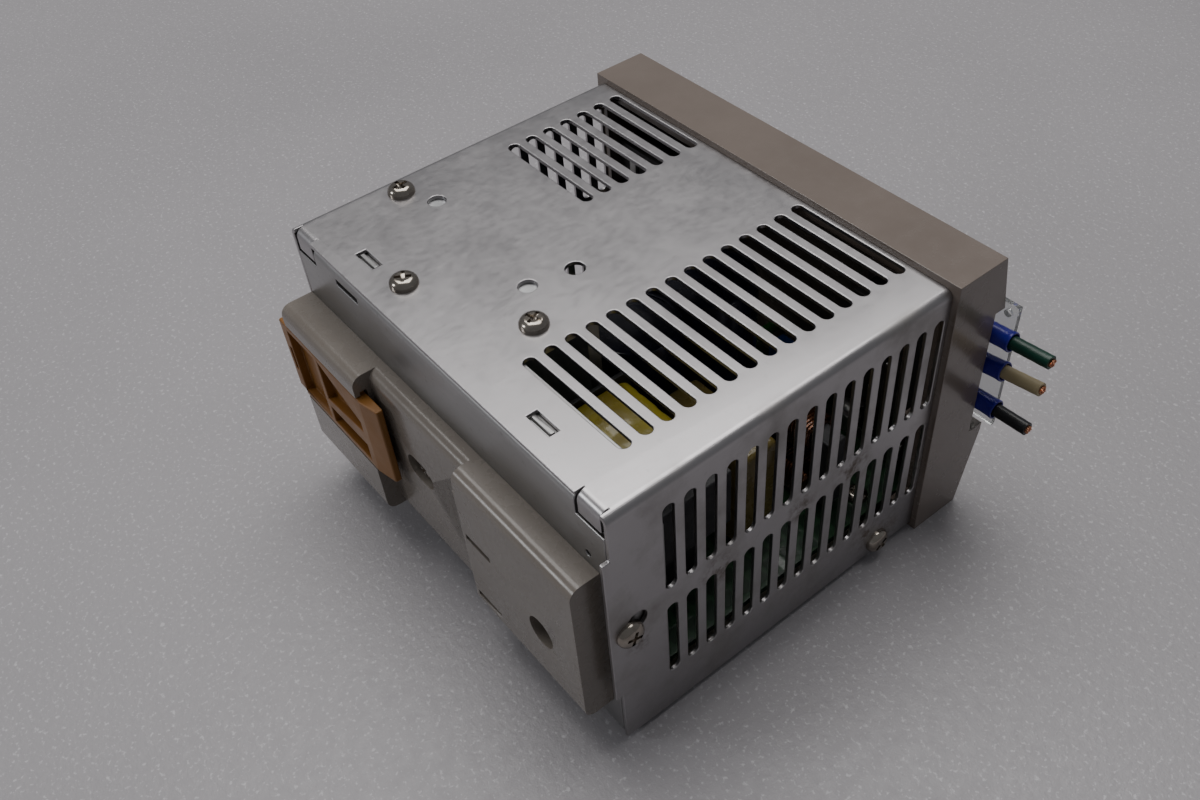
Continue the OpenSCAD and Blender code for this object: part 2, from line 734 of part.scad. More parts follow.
module latch_spring() {
    color("gray") place() translate([lug_x + lug_l, spring_y, latch_mid]) rotate([0, 90, 0]) difference() {
        cylinder(d = spring_d, h = spring_len);
        translate([0, 0, -over]) cylinder(d = spring_d - 2 * spring_wire, h = spring_len + 2 * over);
    }
}

module adapter_screws() {
    color("silver") place() {
        translate([near_adapter_screw[0], 2.2, near_adapter_screw[1]]) rotate([-90, 0, 0])
            screw(6, 2, shank_d, 5);
        translate([mid_adapter_screw[0], 1.8, mid_adapter_screw[1]]) rotate([-90, 0, 0])
            screw(5.6, 2, shank_d, 5);
    }
}

// --- case screws ---------------------------------------------------------

module cover_screws() {
    color("silver") place() for (s = [flange_screw, sink_screw_near, sink_screw_far])
        at(s[0], s[1], case_w) screw(head_d, head_h, shank_d, 4);
}

module side_screws() {
    color("silver") place() for (side = [0, 1]) translate([side * case_h, 0, 0]) mirror([side, 0, 0])
        for (s = [rear_side_screw, front_side_screw])
            at(0, s[0], s[1]) rotate([0, -90, 0]) screw(head_d, head_h, shank_d, 4);
}

// --- board ---------------------------------------------------------------

module insulation_sheet() {
    color("ivory") place() difference() {
        block([board_side, case_h - board_side], [board_back - 2, case_d - skirt_d - 2],
            [sheet_t + 0.1, sheet_t + 0.1 + liner_t]);
        for (s = studs) at(s[0], s[1], 0) cylinder(r = stud_r + 0.5, h = 3);
    }
}

module board_pillars() {
    color("khaki") place() for (s = studs) at(s[0], s[1], sheet_t) difference() {
        cylinder(r = stud_r, h = board_z - sheet_t);
        translate([0, 0, 2]) cylinder(r = shank_d / 2 + thread_gap, h = board_z);
    }
}

module circuit_board() {
    color("darkolivegreen") place() difference() {
        block([board_side, case_h - board_side], [board_back, board_end], [board_z, board_top]);
        for (s = studs) at(s[0], s[1], board_z - over) cylinder(d = shank_d + 0.4, h = board_t + 2 * over);
    }
}

module board_screws() {
    color("silver") place() for (s = studs) at(s[0], s[1], board_top) screw(5.6, 1.8, shank_d, 5);
}

module heat_sink() {
    hi = case_w - sheet_t;
    color("lightgray") place() difference() {
        union() {
            block([sink_start, case_h - 3], [sink_back, sink_front], [hi - sink_t, hi]);
            block([sink_start, case_h - 3], [sink_front - sink_t, sink_front], [sink_z, hi]);
        }
        for (s = [sink_screw_near, sink_screw_far])
            at(s[0], s[1], hi - sink_t - over) cylinder(r = shank_d / 2 + thread_gap, h = sink_t + 2 * over);
        for (x = device_x) at(x + 7, sink_front + over, device_z[1] - 4) rotate([-90, 0, 0])
            cylinder(r = shank_d / 2 + thread_gap, h = sink_t + 2 * over);
    }
}

// Power device on the heat sink with legs down to the board
module power_device(x, w, legs) {
    mid = sink_front + device_t / 2;
    place() difference() {
        union() {
            block([x + 7 - w / 2, x + 7 + w / 2], [sink_front, sink_front + device_t], device_z);
            for (i = [0 : legs - 1]) {
                leg = x + 7 + (i - (legs - 1) / 2) * (w - 4) / (legs - 1);
                block([leg - 0.6, leg + 0.6], [mid - 0.4, mid + 0.4], [board_top, device_z[0] + over]);
            }
        }
        at(x + 7, sink_front + device_t + over, device_z[1] - 4) rotate([-90, 0, 0])
            cylinder(r = shank_d / 2 + 0.2, h = device_t + 2 * over);
    }
}
module bridge_rectifier() { color("black") power_device(device_x[0], 17, 4); }
module switching_transistor() { color("black") power_device(device_x[1], 15, 3); }
module output_diode() { color("black") power_device(device_x[2], 15, 3); }

module device_screws() {
    color("silver") place() for (x = device_x)
        at(x + 7, sink_front + device_t, device_z[1] - 4) rotate([90, 0, 0]) screw(5.6, 1.8, shank_d, 7.5);
}

// Transformer with its winding along X: two legs and two end plates round a bobbin
module transformer_core() {
    leg = 4;
    core_h = 16;
    z0 = board_top + (trafo_h - core_h) / 2;
    color("dimgray") place() at(trafo_at[0], trafo_at[1], z0) difference() {
        translate([-trafo_l / 2, -trafo_w / 2, 0]) cube([trafo_l, trafo_w, core_h]);
        for (y = [-1, 1]) translate([-trafo_l / 2 + leg, y * (trafo_w / 4 - leg / 4 + 2) - 4, -over])
            cube([trafo_l - 2 * leg, 8, core_h + 2 * over]);
    }
}

winding_l = trafo_l - 10;
neck = 1;

module transformer_bobbin() {
    flange = 1;
    color("black") place() at(trafo_at[0], trafo_at[1], board_top) {
        difference() {
            union() for (x = [-1, 1]) translate([x * (winding_l + flange) / 2 - flange / 2, -trafo_w / 2 + 6, 0])
                cube([flange, trafo_w - 12, trafo_h]);
            translate([-trafo_l / 2, -trafo_w / 2, (trafo_h - 16) / 2 - 0.1]) cube([trafo_l, trafo_w, 16.2]);
        }
    }
}

module transformer_winding() {
    color("gold") place() at(trafo_at[0], trafo_at[1], board_top + trafo_h / 2) {
        for (z = [-1, 1]) translate([-winding_l / 2 + 0.1, -trafo_w / 2 + 7, z > 0 ? 8.1 : -trafo_h / 2 + 1])
            cube([winding_l - 0.2, trafo_w - 14, trafo_h / 2 - 9.1]);
    }
}

module can(at_xy, d, h) {
    at(at_xy[0], at_xy[1], board_top) difference() {
        cylinder(d = d, h = h);
        translate([0, 0, 1.2]) rotate_extrude() translate([d / 2 + 0.4, 0]) circle(0.9);
        for (a = [0, 60, 120]) rotate(a) translate([-d * 0.3, -0.15, h - 0.4]) cube([d * 0.6, 0.3, over]);
    }
}
module input_capacitors() { color("midnightblue") place() for (p = in_cap_at) can(p, in_cap_d, in_cap_h); }
module output_capacitors() { color("black") place() for (p = out_cap_at) can(p, out_cap_d, out_cap_h); }

// Line filter: a rectangular ring of ferrite standing on the board, with two windings on it
filter_at = [22, 69];
filter_l = 24;
filter_h = 20;
filter_bar = 5;
module line_filter_core() {
    color("dimgray") place() at(filter_at[0], filter_at[1] + filter_bar / 2, board_top + 2) rotate([-90, 0, 0])
        mirror([0, 1, 0]) linear_extrude(filter_bar) difference() {
            translate([-filter_l / 2, 0]) square([filter_l, filter_h]);
            translate([filter_bar - filter_l / 2, filter_bar]) square([filter_l - 2 * filter_bar, filter_h - 2 * filter_bar]);
        }
}
module line_filter_windings() {
    wind_w = filter_l - 2 * filter_bar - 1;
    color("orangered") place() at(filter_at[0], filter_at[1], board_top + 2) for (z = [0, filter_h - filter_bar])
        translate([-wind_w / 2, 0, z + filter_bar / 2]) rotate([0, 90, 0]) difference() {
            linear_extrude(wind_w) round_box(filter_bar + 3.8, filter_bar + 3.8, 1.6);
            translate([-filter_bar / 2 - 0.05, -filter_bar / 2 - 0.05, -over])
                cube([filter_bar + 0.1, filter_bar + 0.1, wind_w + 2 * over]);
        }
}

module film_capacitor() {
    color("gold") place() block([14, 40], [44, 55], [board_top, board_top + 30]);
}

module safety_capacitors() {
    color("cornflowerblue") place() for (b = [62, 72]) at(37, b, board_top + 5) rotate([0, 90, 0]) difference() {
        cylinder(r = 4, h = 3);
        translate([3.4, 0, 1.5]) rotate([-90, 0, 0]) cylinder(r = 0.4, h = 9, center = true);
    }
}

module output_choke() {
    tube = 4;
    color("darkorange") place() at(out_choke_at[0], out_choke_at[1], board_top + tube) rotate_extrude()
        translate([choke_r - tube, 0]) circle(tube);
}

fuse_r = 2.5;
fuse_x = [9, 29];
fuse_b = case_d + 6;
fuse_z = board_top + 3.6;
module fuse() {
    color("silver") place() translate([fuse_x[0], -fuse_b, fuse_z]) rotate([0, 90, 0])
        cylinder(r = fuse_r, h = fuse_x[1] - fuse_x[0]);
}
module fuse_clips() {
    clip_l = 4;
    color("lightgray") place() for (x = [fuse_x[0] + 0.8, fuse_x[1] - 0.8 - clip_l]) difference() {
        block([x, x + clip_l], [fuse_b - 3.2, fuse_b + 3.2], [board_top, fuse_z + 1.5]);
        translate([x - over, -fuse_b, fuse_z]) rotate([0, 90, 0]) cylinder(r = fuse_r + 0.05, h = clip_l + 2 * over);
        block([x - over, x + clip_l + over], [fuse_b - 1.8, fuse_b + 1.8], [fuse_z, fuse_z + 3]);
    }
}

// --- adjuster and lamp ---------------------------------------------------

trimmer_w = 9.4;
trimmer_z = board_top + 5;
trimmer_r = 1.7;
module trimmer_body() {
    color("royalblue") place() difference() {
        block([trimmer_x - trimmer_w / 2, trimmer_x + trimmer_w / 2], [board_end - 6, board_end - 1],
            [board_top, board_top + trimmer_w + 0.4]);
        at(trimmer_x, board_end, trimmer_z) rotate([-90, 0, 0]) cylinder(r = trimmer_r + running_gap, h = 4);
    }
}
module trimmer_rotor() {
    color("white") place() difference() {
        at(trimmer_x, board_end + 1, trimmer_z) rotate([-90, 0, 0]) cylinder(r = trimmer_r, h = 4.8);
        block([trimmer_x - 2, trimmer_x + 2], [board_end + 0.2, board_end + 2], [trimmer_z - 0.3, trimmer_z + 0.3]);
    }
}

module indicator_lamp() {
    wall_y = front_y + 3.4;
    color("lime") place() {
        at(lamp_x, wall_y, trimmer_z) rotate([-90, 0, 0]) cylinder(r = 1.5, h = wall_y - board_end + 5.5);
        at(lamp_x, wall_y, trimmer_z) sphere(1.5);
        at(lamp_x, board_end, trimmer_z) rotate([-90, 0, 0]) cylinder(r = 2, h = 2);
        block([lamp_x - 1.5, lamp_x + 1.5], [board_end - 5.4, board_end - 3.5], [board_top, trimmer_z]);
    }
}

vented_cover();
chassis();
front_cover();
front_label();
input_terminal_block();
output_terminal_block();
terminal_plates();
terminal_screws();
terminal_links();
input_cover();
output_cover();
crimp_terminals();
crimp_sleeves();
wire_green();
wire_cream();
wire_black();
wire_strands();
rail_adapter();
rail_latch();
latch_spring();
adapter_screws();
cover_screws();
side_screws();
insulation_sheet();
board_pillars();
circuit_board();
board_screws();
heat_sink();
bridge_rectifier();
switching_transistor();
output_diode();
device_screws();
transformer_core();
transformer_bobbin();
transformer_winding();
input_capacitors();
output_capacitors();
line_filter_core();
line_filter_windings();
film_capacitor();
safety_capacitors();
output_choke();
fuse();
fuse_clips();
trimmer_body();
trimmer_rotor();
indicator_lamp();
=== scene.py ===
import json
import math
import bmesh
import bpy
import numpy as np
from mathutils import Matrix, Vector


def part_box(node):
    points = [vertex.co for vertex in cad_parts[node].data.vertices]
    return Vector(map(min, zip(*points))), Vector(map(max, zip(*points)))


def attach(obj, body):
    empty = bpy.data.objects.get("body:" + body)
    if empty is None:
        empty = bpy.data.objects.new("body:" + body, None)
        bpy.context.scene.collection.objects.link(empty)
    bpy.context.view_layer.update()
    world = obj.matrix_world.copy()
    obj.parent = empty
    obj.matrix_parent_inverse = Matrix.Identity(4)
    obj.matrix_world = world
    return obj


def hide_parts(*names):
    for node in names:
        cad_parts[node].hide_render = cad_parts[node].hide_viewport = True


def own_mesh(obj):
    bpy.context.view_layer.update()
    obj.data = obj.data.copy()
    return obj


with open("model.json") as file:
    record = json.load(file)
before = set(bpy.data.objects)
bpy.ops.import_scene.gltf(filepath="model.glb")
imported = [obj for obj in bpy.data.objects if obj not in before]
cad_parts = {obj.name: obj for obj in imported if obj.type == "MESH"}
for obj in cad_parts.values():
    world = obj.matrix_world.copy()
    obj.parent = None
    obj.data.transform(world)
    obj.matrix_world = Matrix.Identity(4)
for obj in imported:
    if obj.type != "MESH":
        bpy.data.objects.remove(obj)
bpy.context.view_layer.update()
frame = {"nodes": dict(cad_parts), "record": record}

# DIN rail power supply: finishes for the CAD nodes, detailed pieces for what shows, a plain floor and light.
# The row frame is in metres: the front with the terminals faces -Y, the rail side +Y, the wires leave at -X.

mm = 0.001
caseLow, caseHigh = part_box("vented_cover")
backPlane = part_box("chassis")[1].y
caseMiddle = (caseLow + caseHigh) / 2
print("frame loaded:", len(frame["nodes"]), "nodes")


# a place n mm from the wire side, b mm forward of the back plane and z mm above the lower panel
def spot(n, b, z):
    return np.array([caseLow.x + n * mm, backPlane - b * mm, caseLow.z + z * mm])


# camera, light and floor

cameraSet = {
    "azimuth": 234.4,
    "elevation": 46.1,
    "distance": 254.5 * mm,
    "aim": (-12.31, 7.26, -0.47),  # from the middle of the case, in mm
    "roll": -4.67,
    "lens": 35.1,
    "shift": (-0.0165, 0.0235),
}
lightSet = {
    "overhead": {"at": (0.25, -0.16, 0.95), "size": (1.0, 0.7), "power": 8.6, "tint": (1.0, 0.985, 0.97)},
    "window": {"at": (0.46, 0.71, 0.43), "size": (0.22, 0.22), "power": 1.3, "tint": (0.96, 0.98, 1.0)},
}
worldSet = {"tint": (0.80, 0.81, 0.85), "strength": 0.22}
floorSet = {
    "size": 4.0,
    "pale": (0.365, 0.350, 0.364),
    "dim": (0.325, 0.312, 0.325),
    "paintedGlint": 900.0,  # painted glints: small bright specks painted into the colour, per metre, and their colour
    "paintedGlintTint": (0.66, 0.65, 0.67),
    "pebble": 520.0,  # unevenness, per metre, and its depth in mm
    "pebbleDepth": 0.22,
}


def setCamera():
    az, el = math.radians(cameraSet["azimuth"]), math.radians(cameraSet["elevation"])
    forward = Vector((-math.sin(az) * math.cos(el), math.cos(az) * math.cos(el), -math.sin(el)))
    level = forward.cross(Vector((0, 0, 1))).normalized()
    tip = level.cross(forward)
    roll = math.radians(cameraSet["roll"])
    right = level * math.cos(roll) + tip * math.sin(roll)
    up = right.cross(forward)
    camera = bpy.data.objects.new("camera", bpy.data.cameras.new("camera"))
    bpy.context.scene.collection.objects.link(camera)
    aim = caseMiddle + Vector(cameraSet["aim"]) * mm
    turn = Matrix((right, up, -forward)).transposed().to_4x4()
    camera.matrix_world = Matrix.Translation(aim - forward * cameraSet["distance"]) @ turn
    camera.data.sensor_width = 36
    camera.data.lens = cameraSet["lens"]
    camera.data.shift_x, camera.data.shift_y = cameraSet["shift"]
    camera.data.clip_start, camera.data.clip_end = 0.01, 20
    bpy.context.scene.camera = camera


def setLights():
    for name, look in lightSet.items():
        lamp = bpy.data.lights.new(name, "AREA")
        lamp.shape = "RECTANGLE"
        lamp.size, lamp.size_y = look["size"]
        lamp.energy = look["power"]
        lamp.color = look["tint"]
        holder = bpy.data.objects.new(name, lamp)
        bpy.context.scene.collection.objects.link(holder)
        holder.location = look["at"]
        holder.rotation_mode = "QUATERNION"
        holder.rotation_quaternion = (caseMiddle - Vector(look["at"])).to_track_quat("-Z", "Y")
    world = bpy.data.worlds.new("studio")
    world.use_nodes = True
    back = world.node_tree.nodes["Background"]
    back.inputs[0].default_value = (*worldSet["tint"], 1)
    back.inputs[1].default_value = worldSet["strength"]
    bpy.context.scene.world = world


setCamera()
setLights()

# materials

# each input takes a plain value, or a socket to join to it
def fill(node, inputs):
    for key, value in inputs.items():
        if isinstance(value, bpy.types.NodeSocket):
            node.id_data.links.new(value, node.inputs[key])
        else:
            node.inputs[key].default_value = value


# a new node in the same material as another node or socket
def addNode(near, kind, inputs, **settings):
    made = near.id_data.nodes.new("ShaderNode" + kind)
    for key, value in settings.items():
        setattr(made, key, value)
    fill(made, inputs)
    return made


def startMaterial(name):
    material = bpy.data.materials.new(name)
    material.use_nodes = True
    shader = material.node_tree.nodes["Principled BSDF"]
    return material, shader, addNode(shader, "TexCoord", {}).outputs["Object"]


# cloudy pattern, with its grain drawn out by stretch
def cloud(where, scale, detail=3.0, stretch=(1, 1, 1), rough=0.55):
    drawn = addNode(where, "Mapping", {"Vector": where, "Scale": stretch}).outputs[0]
    given = {"Vector": drawn, "Scale": scale, "Detail": detail, "Roughness": rough}
    return addNode(where, "TexNoise", given).outputs[0]


# squeezes a pattern to a mask that goes from 0 at low to 1 at high
def mask(pattern, low, high):
    return addNode(pattern, "MapRange", {"Value": pattern, "From Min": low, "From Max": high}).outputs[0]


# spreads the 0.3 to 0.7 that a cloud mostly keeps to over the values from low to high
def between(pattern, low, high):
    given = {"Value": pattern, "From Min": 0.3, "From Max": 0.7, "To Min": low, "To Max": high}
    return addNode(pattern, "MapRange", given).outputs[0]


# the first colour where the amount is 0, the second where it is 1
def blendColour(amount, first, second):
    first, second = ((*colour, 1) if isinstance(colour, tuple) else colour for colour in (first, second))
    return addNode(amount, "Mix", {0: amount, 6: first, 7: second}, data_type="RGBA").outputs[2]


# arithmetic on two patterns, or on a pattern and a number
def combine(how, first, second):
    near = first if isinstance(first, bpy.types.NodeSocket) else second
    return addNode(near, "Math", {0: first, 1: second}, operation=how).outputs[0]


def times(first, second):
    return combine("MULTIPLY", first, second)


# bump from a pattern, on top of the bump that is there already
def addBump(shader, pattern, depth):
    given = {"Height": pattern, "Distance": depth * mm, "Strength": 1.0}
    if shader.inputs["Normal"].links:
        given["Normal"] = shader.inputs["Normal"].links[0].from_socket
    fill(shader, {"Normal": addNode(shader, "Bump", given).outputs[0]})


# what a plain finish has unless it says otherwise: pattern scales per metre, depths in mm
usualFinish = {"patch": 70.0, "wear": 240.0, "grain": 1600.0, "depth": 0.02, "stretch": (1, 1, 1),
               "metal": 0.0, "ior": 1.46, "coat": 0.0, "coatRough": 0.15}


# colour in two tones, roughness between two values and a fine bump, all from clouds on the object's own
# coordinates; sag adds the slow unevenness of a moulded surface
def plainFinish(name, look):
    look = {**usualFinish, **look}
    material, shader, where = startMaterial(name)
    tones = cloud(where, look["patch"], 4.0, look["stretch"])
    colour = blendColour(mask(tones, 0.3, 0.7), look["colour"], look["second"])
    wear = cloud(where, look["wear"], 3.0, look["stretch"])
    fill(shader, {"Base Color": colour, "Roughness": between(wear, *look["rough"]), "Metallic": look["metal"],
                  "IOR": look["ior"], "Coat Weight": look["coat"], "Coat Roughness": look["coatRough"]})
    addBump(shader, cloud(where, look["grain"], 2.0, look["stretch"]), look["depth"])
    if "sag" in look:
        addBump(shader, cloud(where, look["sag"], 2.0), look["sagDepth"])
    return material


finishes = {
    "screw_metal": {"colour": (0.43, 0.395, 0.345), "second": (0.30, 0.265, 0.225), "rough": (0.12, 0.22),
        "metal": 1.0, "patch": 500.0, "grain": 2500.0, "depth": 0.008},
    "cover_plastic": {"colour": (0.182, 0.148, 0.127), "second": (0.160, 0.129, 0.110), "rough": (0.20, 0.30),
        "patch": 45.0, "grain": 2200.0, "depth": 0.012, "sag": 55.0, "sagDepth": 0.03, "coat": 0.35},
    "adapter_plastic": {"colour": (0.205, 0.180, 0.155), "second": (0.180, 0.156, 0.134),
        "rough": (0.22, 0.32), "patch": 40.0, "grain": 1800.0, "depth": 0.02, "sag": 80.0, "sagDepth": 0.08,
        "coat": 0.3},
    "latch_plastic": {"colour": (0.25, 0.108, 0.020), "second": (0.20, 0.084, 0.015), "rough": (0.32, 0.46),
        "patch": 90.0, "grain": 1500.0, "depth": 0.03, "sag": 120.0, "sagDepth": 0.08},
    "block_plastic": {"colour": (0.045, 0.043, 0.042), "second": (0.032, 0.031, 0.031), "rough": (0.38, 0.52),
        "grain": 1400.0, "depth": 0.03},
    "sleeve_blue": {"colour": (0.018, 0.014, 0.29), "second": (0.012, 0.010, 0.21), "rough": (0.30, 0.42),
        "patch": 300.0, "grain": 900.0, "depth": 0.03, "coat": 0.2},
    "wire_green_pvc": {"colour": (0.006, 0.048, 0.030), "second": (0.004, 0.034, 0.022),
        "rough": (0.30, 0.42), "patch": 250.0, "grain": 700.0, "depth": 0.03},
    "wire_cream_pvc": {"colour": (0.40, 0.335, 0.20), "second": (0.33, 0.27, 0.15), "rough": (0.34, 0.48),
        "patch": 250.0, "grain": 700.0, "depth": 0.03},
    "wire_black_pvc": {"colour": (0.012, 0.013, 0.015), "second": (0.018, 0.019, 0.021),
        "rough": (0.28, 0.42), "patch": 250.0, "grain": 700.0, "depth": 0.03},
    "copper": {"colour": (0.80, 0.40, 0.24), "second": (0.62, 0.27, 0.15), "rough": (0.24, 0.38),
        "metal": 1.0, "patch": 900.0, "grain": 3000.0, "depth": 0.01},
    "tinned": {"colour": (0.66, 0.655, 0.635), "second": (0.54, 0.535, 0.52), "rough": (0.28, 0.42),
        "metal": 1.0, "patch": 400.0, "grain": 2400.0, "depth": 0.01},
    "spring_steel": {"colour": (0.50, 0.49, 0.47), "second": (0.38, 0.37, 0.35), "rough": (0.22, 0.34),
        "metal": 1.0, "patch": 600.0, "grain": 3000.0, "depth": 0.006},
    "liner": {"colour": (0.70, 0.665, 0.56), "second": (0.62, 0.585, 0.48), "rough": (0.40, 0.55),
        "grain": 1200.0, "depth": 0.01},
    "sink": {"colour": (0.62, 0.625, 0.63), "second": (0.53, 0.535, 0.54), "rough": (0.34, 0.48),
        "metal": 1.0, "stretch": (0.12, 1, 1), "grain": 3000.0, "depth": 0.02},
    "component_black": {"colour": (0.016, 0.016, 0.017), "second": (0.024, 0.024, 0.025),
        "rough": (0.36, 0.50), "grain": 2200.0, "depth": 0.02},
    "ferrite": {"colour": (0.055, 0.055, 0.058), "second": (0.035, 0.035, 0.038), "rough": (0.40, 0.60),
        "patch": 300.0, "grain": 1600.0, "depth": 0.04},
    "disc_blue": {"colour": (0.035, 0.16, 0.42), "second": (0.025, 0.12, 0.34), "rough": (0.22, 0.34),
        "patch": 250.0, "grain": 600.0, "depth": 0.04, "coat": 0.3},
    "trimmer_blue": {"colour": (0.020, 0.10, 0.38), "second": (0.016, 0.08, 0.31), "rough": (0.32, 0.44),
        "grain": 1800.0, "depth": 0.015},
    "trimmer_white": {"colour": (0.78, 0.77, 0.73), "second": (0.70, 0.69, 0.65), "rough": (0.34, 0.46),
        "grain": 1800.0, "depth": 0.015},
    # film capacitor: its own colour darkened to olive-brown as painted shade for the inside of the case
    "film_brown": {"colour": (0.20, 0.155, 0.045), "second": (0.14, 0.105, 0.030), "rough": (0.22, 0.36),
        "patch": 160.0, "grain": 500.0, "depth": 0.05, "coat": 0.4},
    "varnish_brown": {"colour": (0.16, 0.085, 0.030), "second": (0.11, 0.055, 0.018), "rough": (0.25, 0.40),
        "patch": 300.0, "grain": 900.0, "depth": 0.04, "coat": 0.3},
}


dirtTints = {"speck": (0.20, 0.19, 0.18), "smudge": (0.30, 0.285, 0.27), "rust": (0.085, 0.052, 0.030)}


# satin zinc sheet: rolled grain, cloudy handling marks, and rust-brown dirt on the narrow side by the wires
def sheetFinish(name, look):
    material, shader, where = startMaterial(name)
    patches = cloud(where, 22.0, 5.0, rough=0.6)
    colour = blendColour(mask(patches, 0.35, 0.68), look["colour"], look["second"])
    specks = mask(cloud(where, 620.0, 2.0), 0.66, 0.74)
    colour = blendColour(times(specks, look["speck"]), colour, dirtTints["speck"])
    wear = cloud(where, 75.0, 5.0, (1, 1, 1), 0.65)
    rough = between(wear, *look["rough"])
    fine = cloud(where, 700.0, 2.0, look["stretch"])
    rough = combine("ADD", rough, times(combine("SUBTRACT", fine, 0.5), 0.12))
    metal = 1.0
    if "dirt" in look:
        place = addNode(where, "SeparateXYZ", {0: where}).outputs
        side = mask(place["X"], caseLow.x + 3.0 * mm, caseLow.x + 0.4 * mm)
        grime = None
        for b, z, reach in look["dirt"]:
            away = addNode(where, "VectorMath", {0: where, 1: tuple(spot(0, b, z))}, operation="DISTANCE")
            near = mask(away.outputs["Value"], reach * mm, reach * 0.15 * mm)
            grime = near if grime is None else combine("MAXIMUM", grime, near)
        blots = mask(cloud(where, 330.0, 6.0, rough=0.7), 0.44, 0.62)
        rust = times(times(grime, blots), side)
        smudge = mask(cloud(where, 60.0, 5.0, (1, 1, 1), 0.62), 0.46, 0.72)
        smudge = times(times(smudge, side), 0.8)
        colour = blendColour(smudge, colour, dirtTints["smudge"])
        colour = blendColour(times(rust, 0.85), colour, dirtTints["rust"])
        rough = combine("ADD", rough, times(combine("ADD", rust, smudge), 0.30))
        metal = combine("SUBTRACT", 1.0, times(rust, 0.8))
    fill(shader, {"Base Color": colour, "Roughness": rough, "Metallic": metal})
    addBump(shader, cloud(where, 1500.0, 2.0, look["stretch"]), 0.006)
    addBump(shader, cloud(where, 16.0, 1.0), look["wave"])
    return material


# dirt holds places on the narrow side, as (mm from the back plane, mm above the lower panel, reach in mm)
sheetLooks = {
    "case_metal": {"colour": (0.450, 0.436, 0.443), "second": (0.420, 0.407, 0.413), "rough": (0.30, 0.38),
        "speck": 0.12, "stretch": (1, 0.5, 1), "wave": 0.06,
        "dirt": [(76, 4.5, 9), (62, 37, 7), (47, 36, 5), (25, 35, 6), (5, 30, 4), (70, 9, 7), (86, 20, 6)]},
    "chassis_metal": {"colour": (0.400, 0.396, 0.392), "second": (0.355, 0.350, 0.348), "rough": (0.30, 0.44),
        "speck": 0.35, "stretch": (0.12, 1, 1), "wave": 0.08},
}


# green solder mask over copper tracks: cell edges of a stretched pattern stand for the tracks
def boardFinish():
    material, shader, where = startMaterial("board")
    given = {"Vector": where, "Scale": 210.0, "Randomness": 0.35}
    cells = addNode(where, "TexVoronoi", given, feature="DISTANCE_TO_EDGE")
    track = mask(cells.outputs["Distance"], 0.16, 0.10)
    tone = cloud(where, 60.0, 3.0)
    dark = blendColour(tone, (0.006, 0.026, 0.012), (0.009, 0.034, 0.015))
    colour = blendColour(track, dark, (0.016, 0.060, 0.024))
    rough = between(tone, 0.28, 0.40)
    fill(shader, {"Base Color": colour, "Roughness": rough, "Coat Weight": 0.4})
    addBump(shader, track, 0.035)
    return material


# polyester tape: laps across the winding, a slight crinkle and a glossy face
def tapeFinish():
    material, shader, where = startMaterial("tape_yellow")
    given = {"Vector": where, "Scale": 95.0, "Distortion": 1.2, "Detail": 2.0}
    laps = addNode(where, "TexWave", given, bands_direction="Z")
    tone = cloud(where, 150.0, 4.0)
    colour = blendColour(mask(tone, 0.35, 0.7), (0.31, 0.255, 0.022), (0.20, 0.160, 0.014))
    colour = blendColour(mask(laps.outputs["Fac"], 0.06, 0.0), colour, (0.20, 0.15, 0.012))
    rough = between(tone, 0.16, 0.34)
    fill(shader, {"Base Color": colour, "Roughness": rough, "Coat Weight": 0.35})
    addBump(shader, laps.outputs["Fac"], 0.05)
    addBump(shader, cloud(where, 420.0, 3.0), 0.10)
    return material


# finishes whose colour and roughness follow one cloud, given as scale and detail; bump is scale, detail,
# sometimes stretch, and depth in mm
toneLooks = {
    "clear_plastic": {"cloud": (160.0, 4.0), "colours": [(0.90, 0.92, 0.91)], "rough": (0.10, 0.26),
        "shader": {"Transmission Weight": 0.92, "IOR": 1.49}, "bump": (900.0, 2.0, (1, 0.1, 1), 0.01)},
    "fuse_glass": {"cloud": (400.0, 3.0), "colours": [(0.95, 0.97, 0.96)], "rough": (0.02, 0.08),
        "shader": {"Transmission Weight": 1.0, "IOR": 1.5}},
    "can_sleeve": {"cloud": (140.0, 3.0), "colours": [(0.012, 0.014, 0.040), (0.020, 0.022, 0.058)],
        "rough": (0.20, 0.32), "shader": {"Coat Weight": 0.3}, "bump": (500.0, 2.0, 0.03)},
    "lamp_green": {"cloud": (500.0, 2.0), "colours": [(0.05, 0.42, 0.08), (0.03, 0.30, 0.05)],
        "rough": (0.12, 0.22), "shader": {"Transmission Weight": 0.6}},
    # enamel wire: dark red-brown, darkened further as painted shade for the inside of the case
    "enamel_wire": {"cloud": (300.0, 3.0), "colours": [(0.15, 0.060, 0.026), (0.10, 0.040, 0.018)],
        "rough": (0.20, 0.32), "shader": {"Metallic": 0.85, "Coat Weight": 0.5}, "bump": (1500.0, 2.0, 0.01)},
}


def toneFinish(name, look):
    material, shader, where = startMaterial(name)
    tone, colours = cloud(where, *look["cloud"]), look["colours"]
    colour = blendColour(tone, *colours) if len(colours) == 2 else (*colours[0], 1)
    rough = between(tone, *look["rough"])
    fill(shader, {"Base Color": colour, "Roughness": rough, **look["shader"]})
    if "bump" in look:
        addBump(shader, cloud(where, *look["bump"][:-1]), look["bump"][-1])
    return material


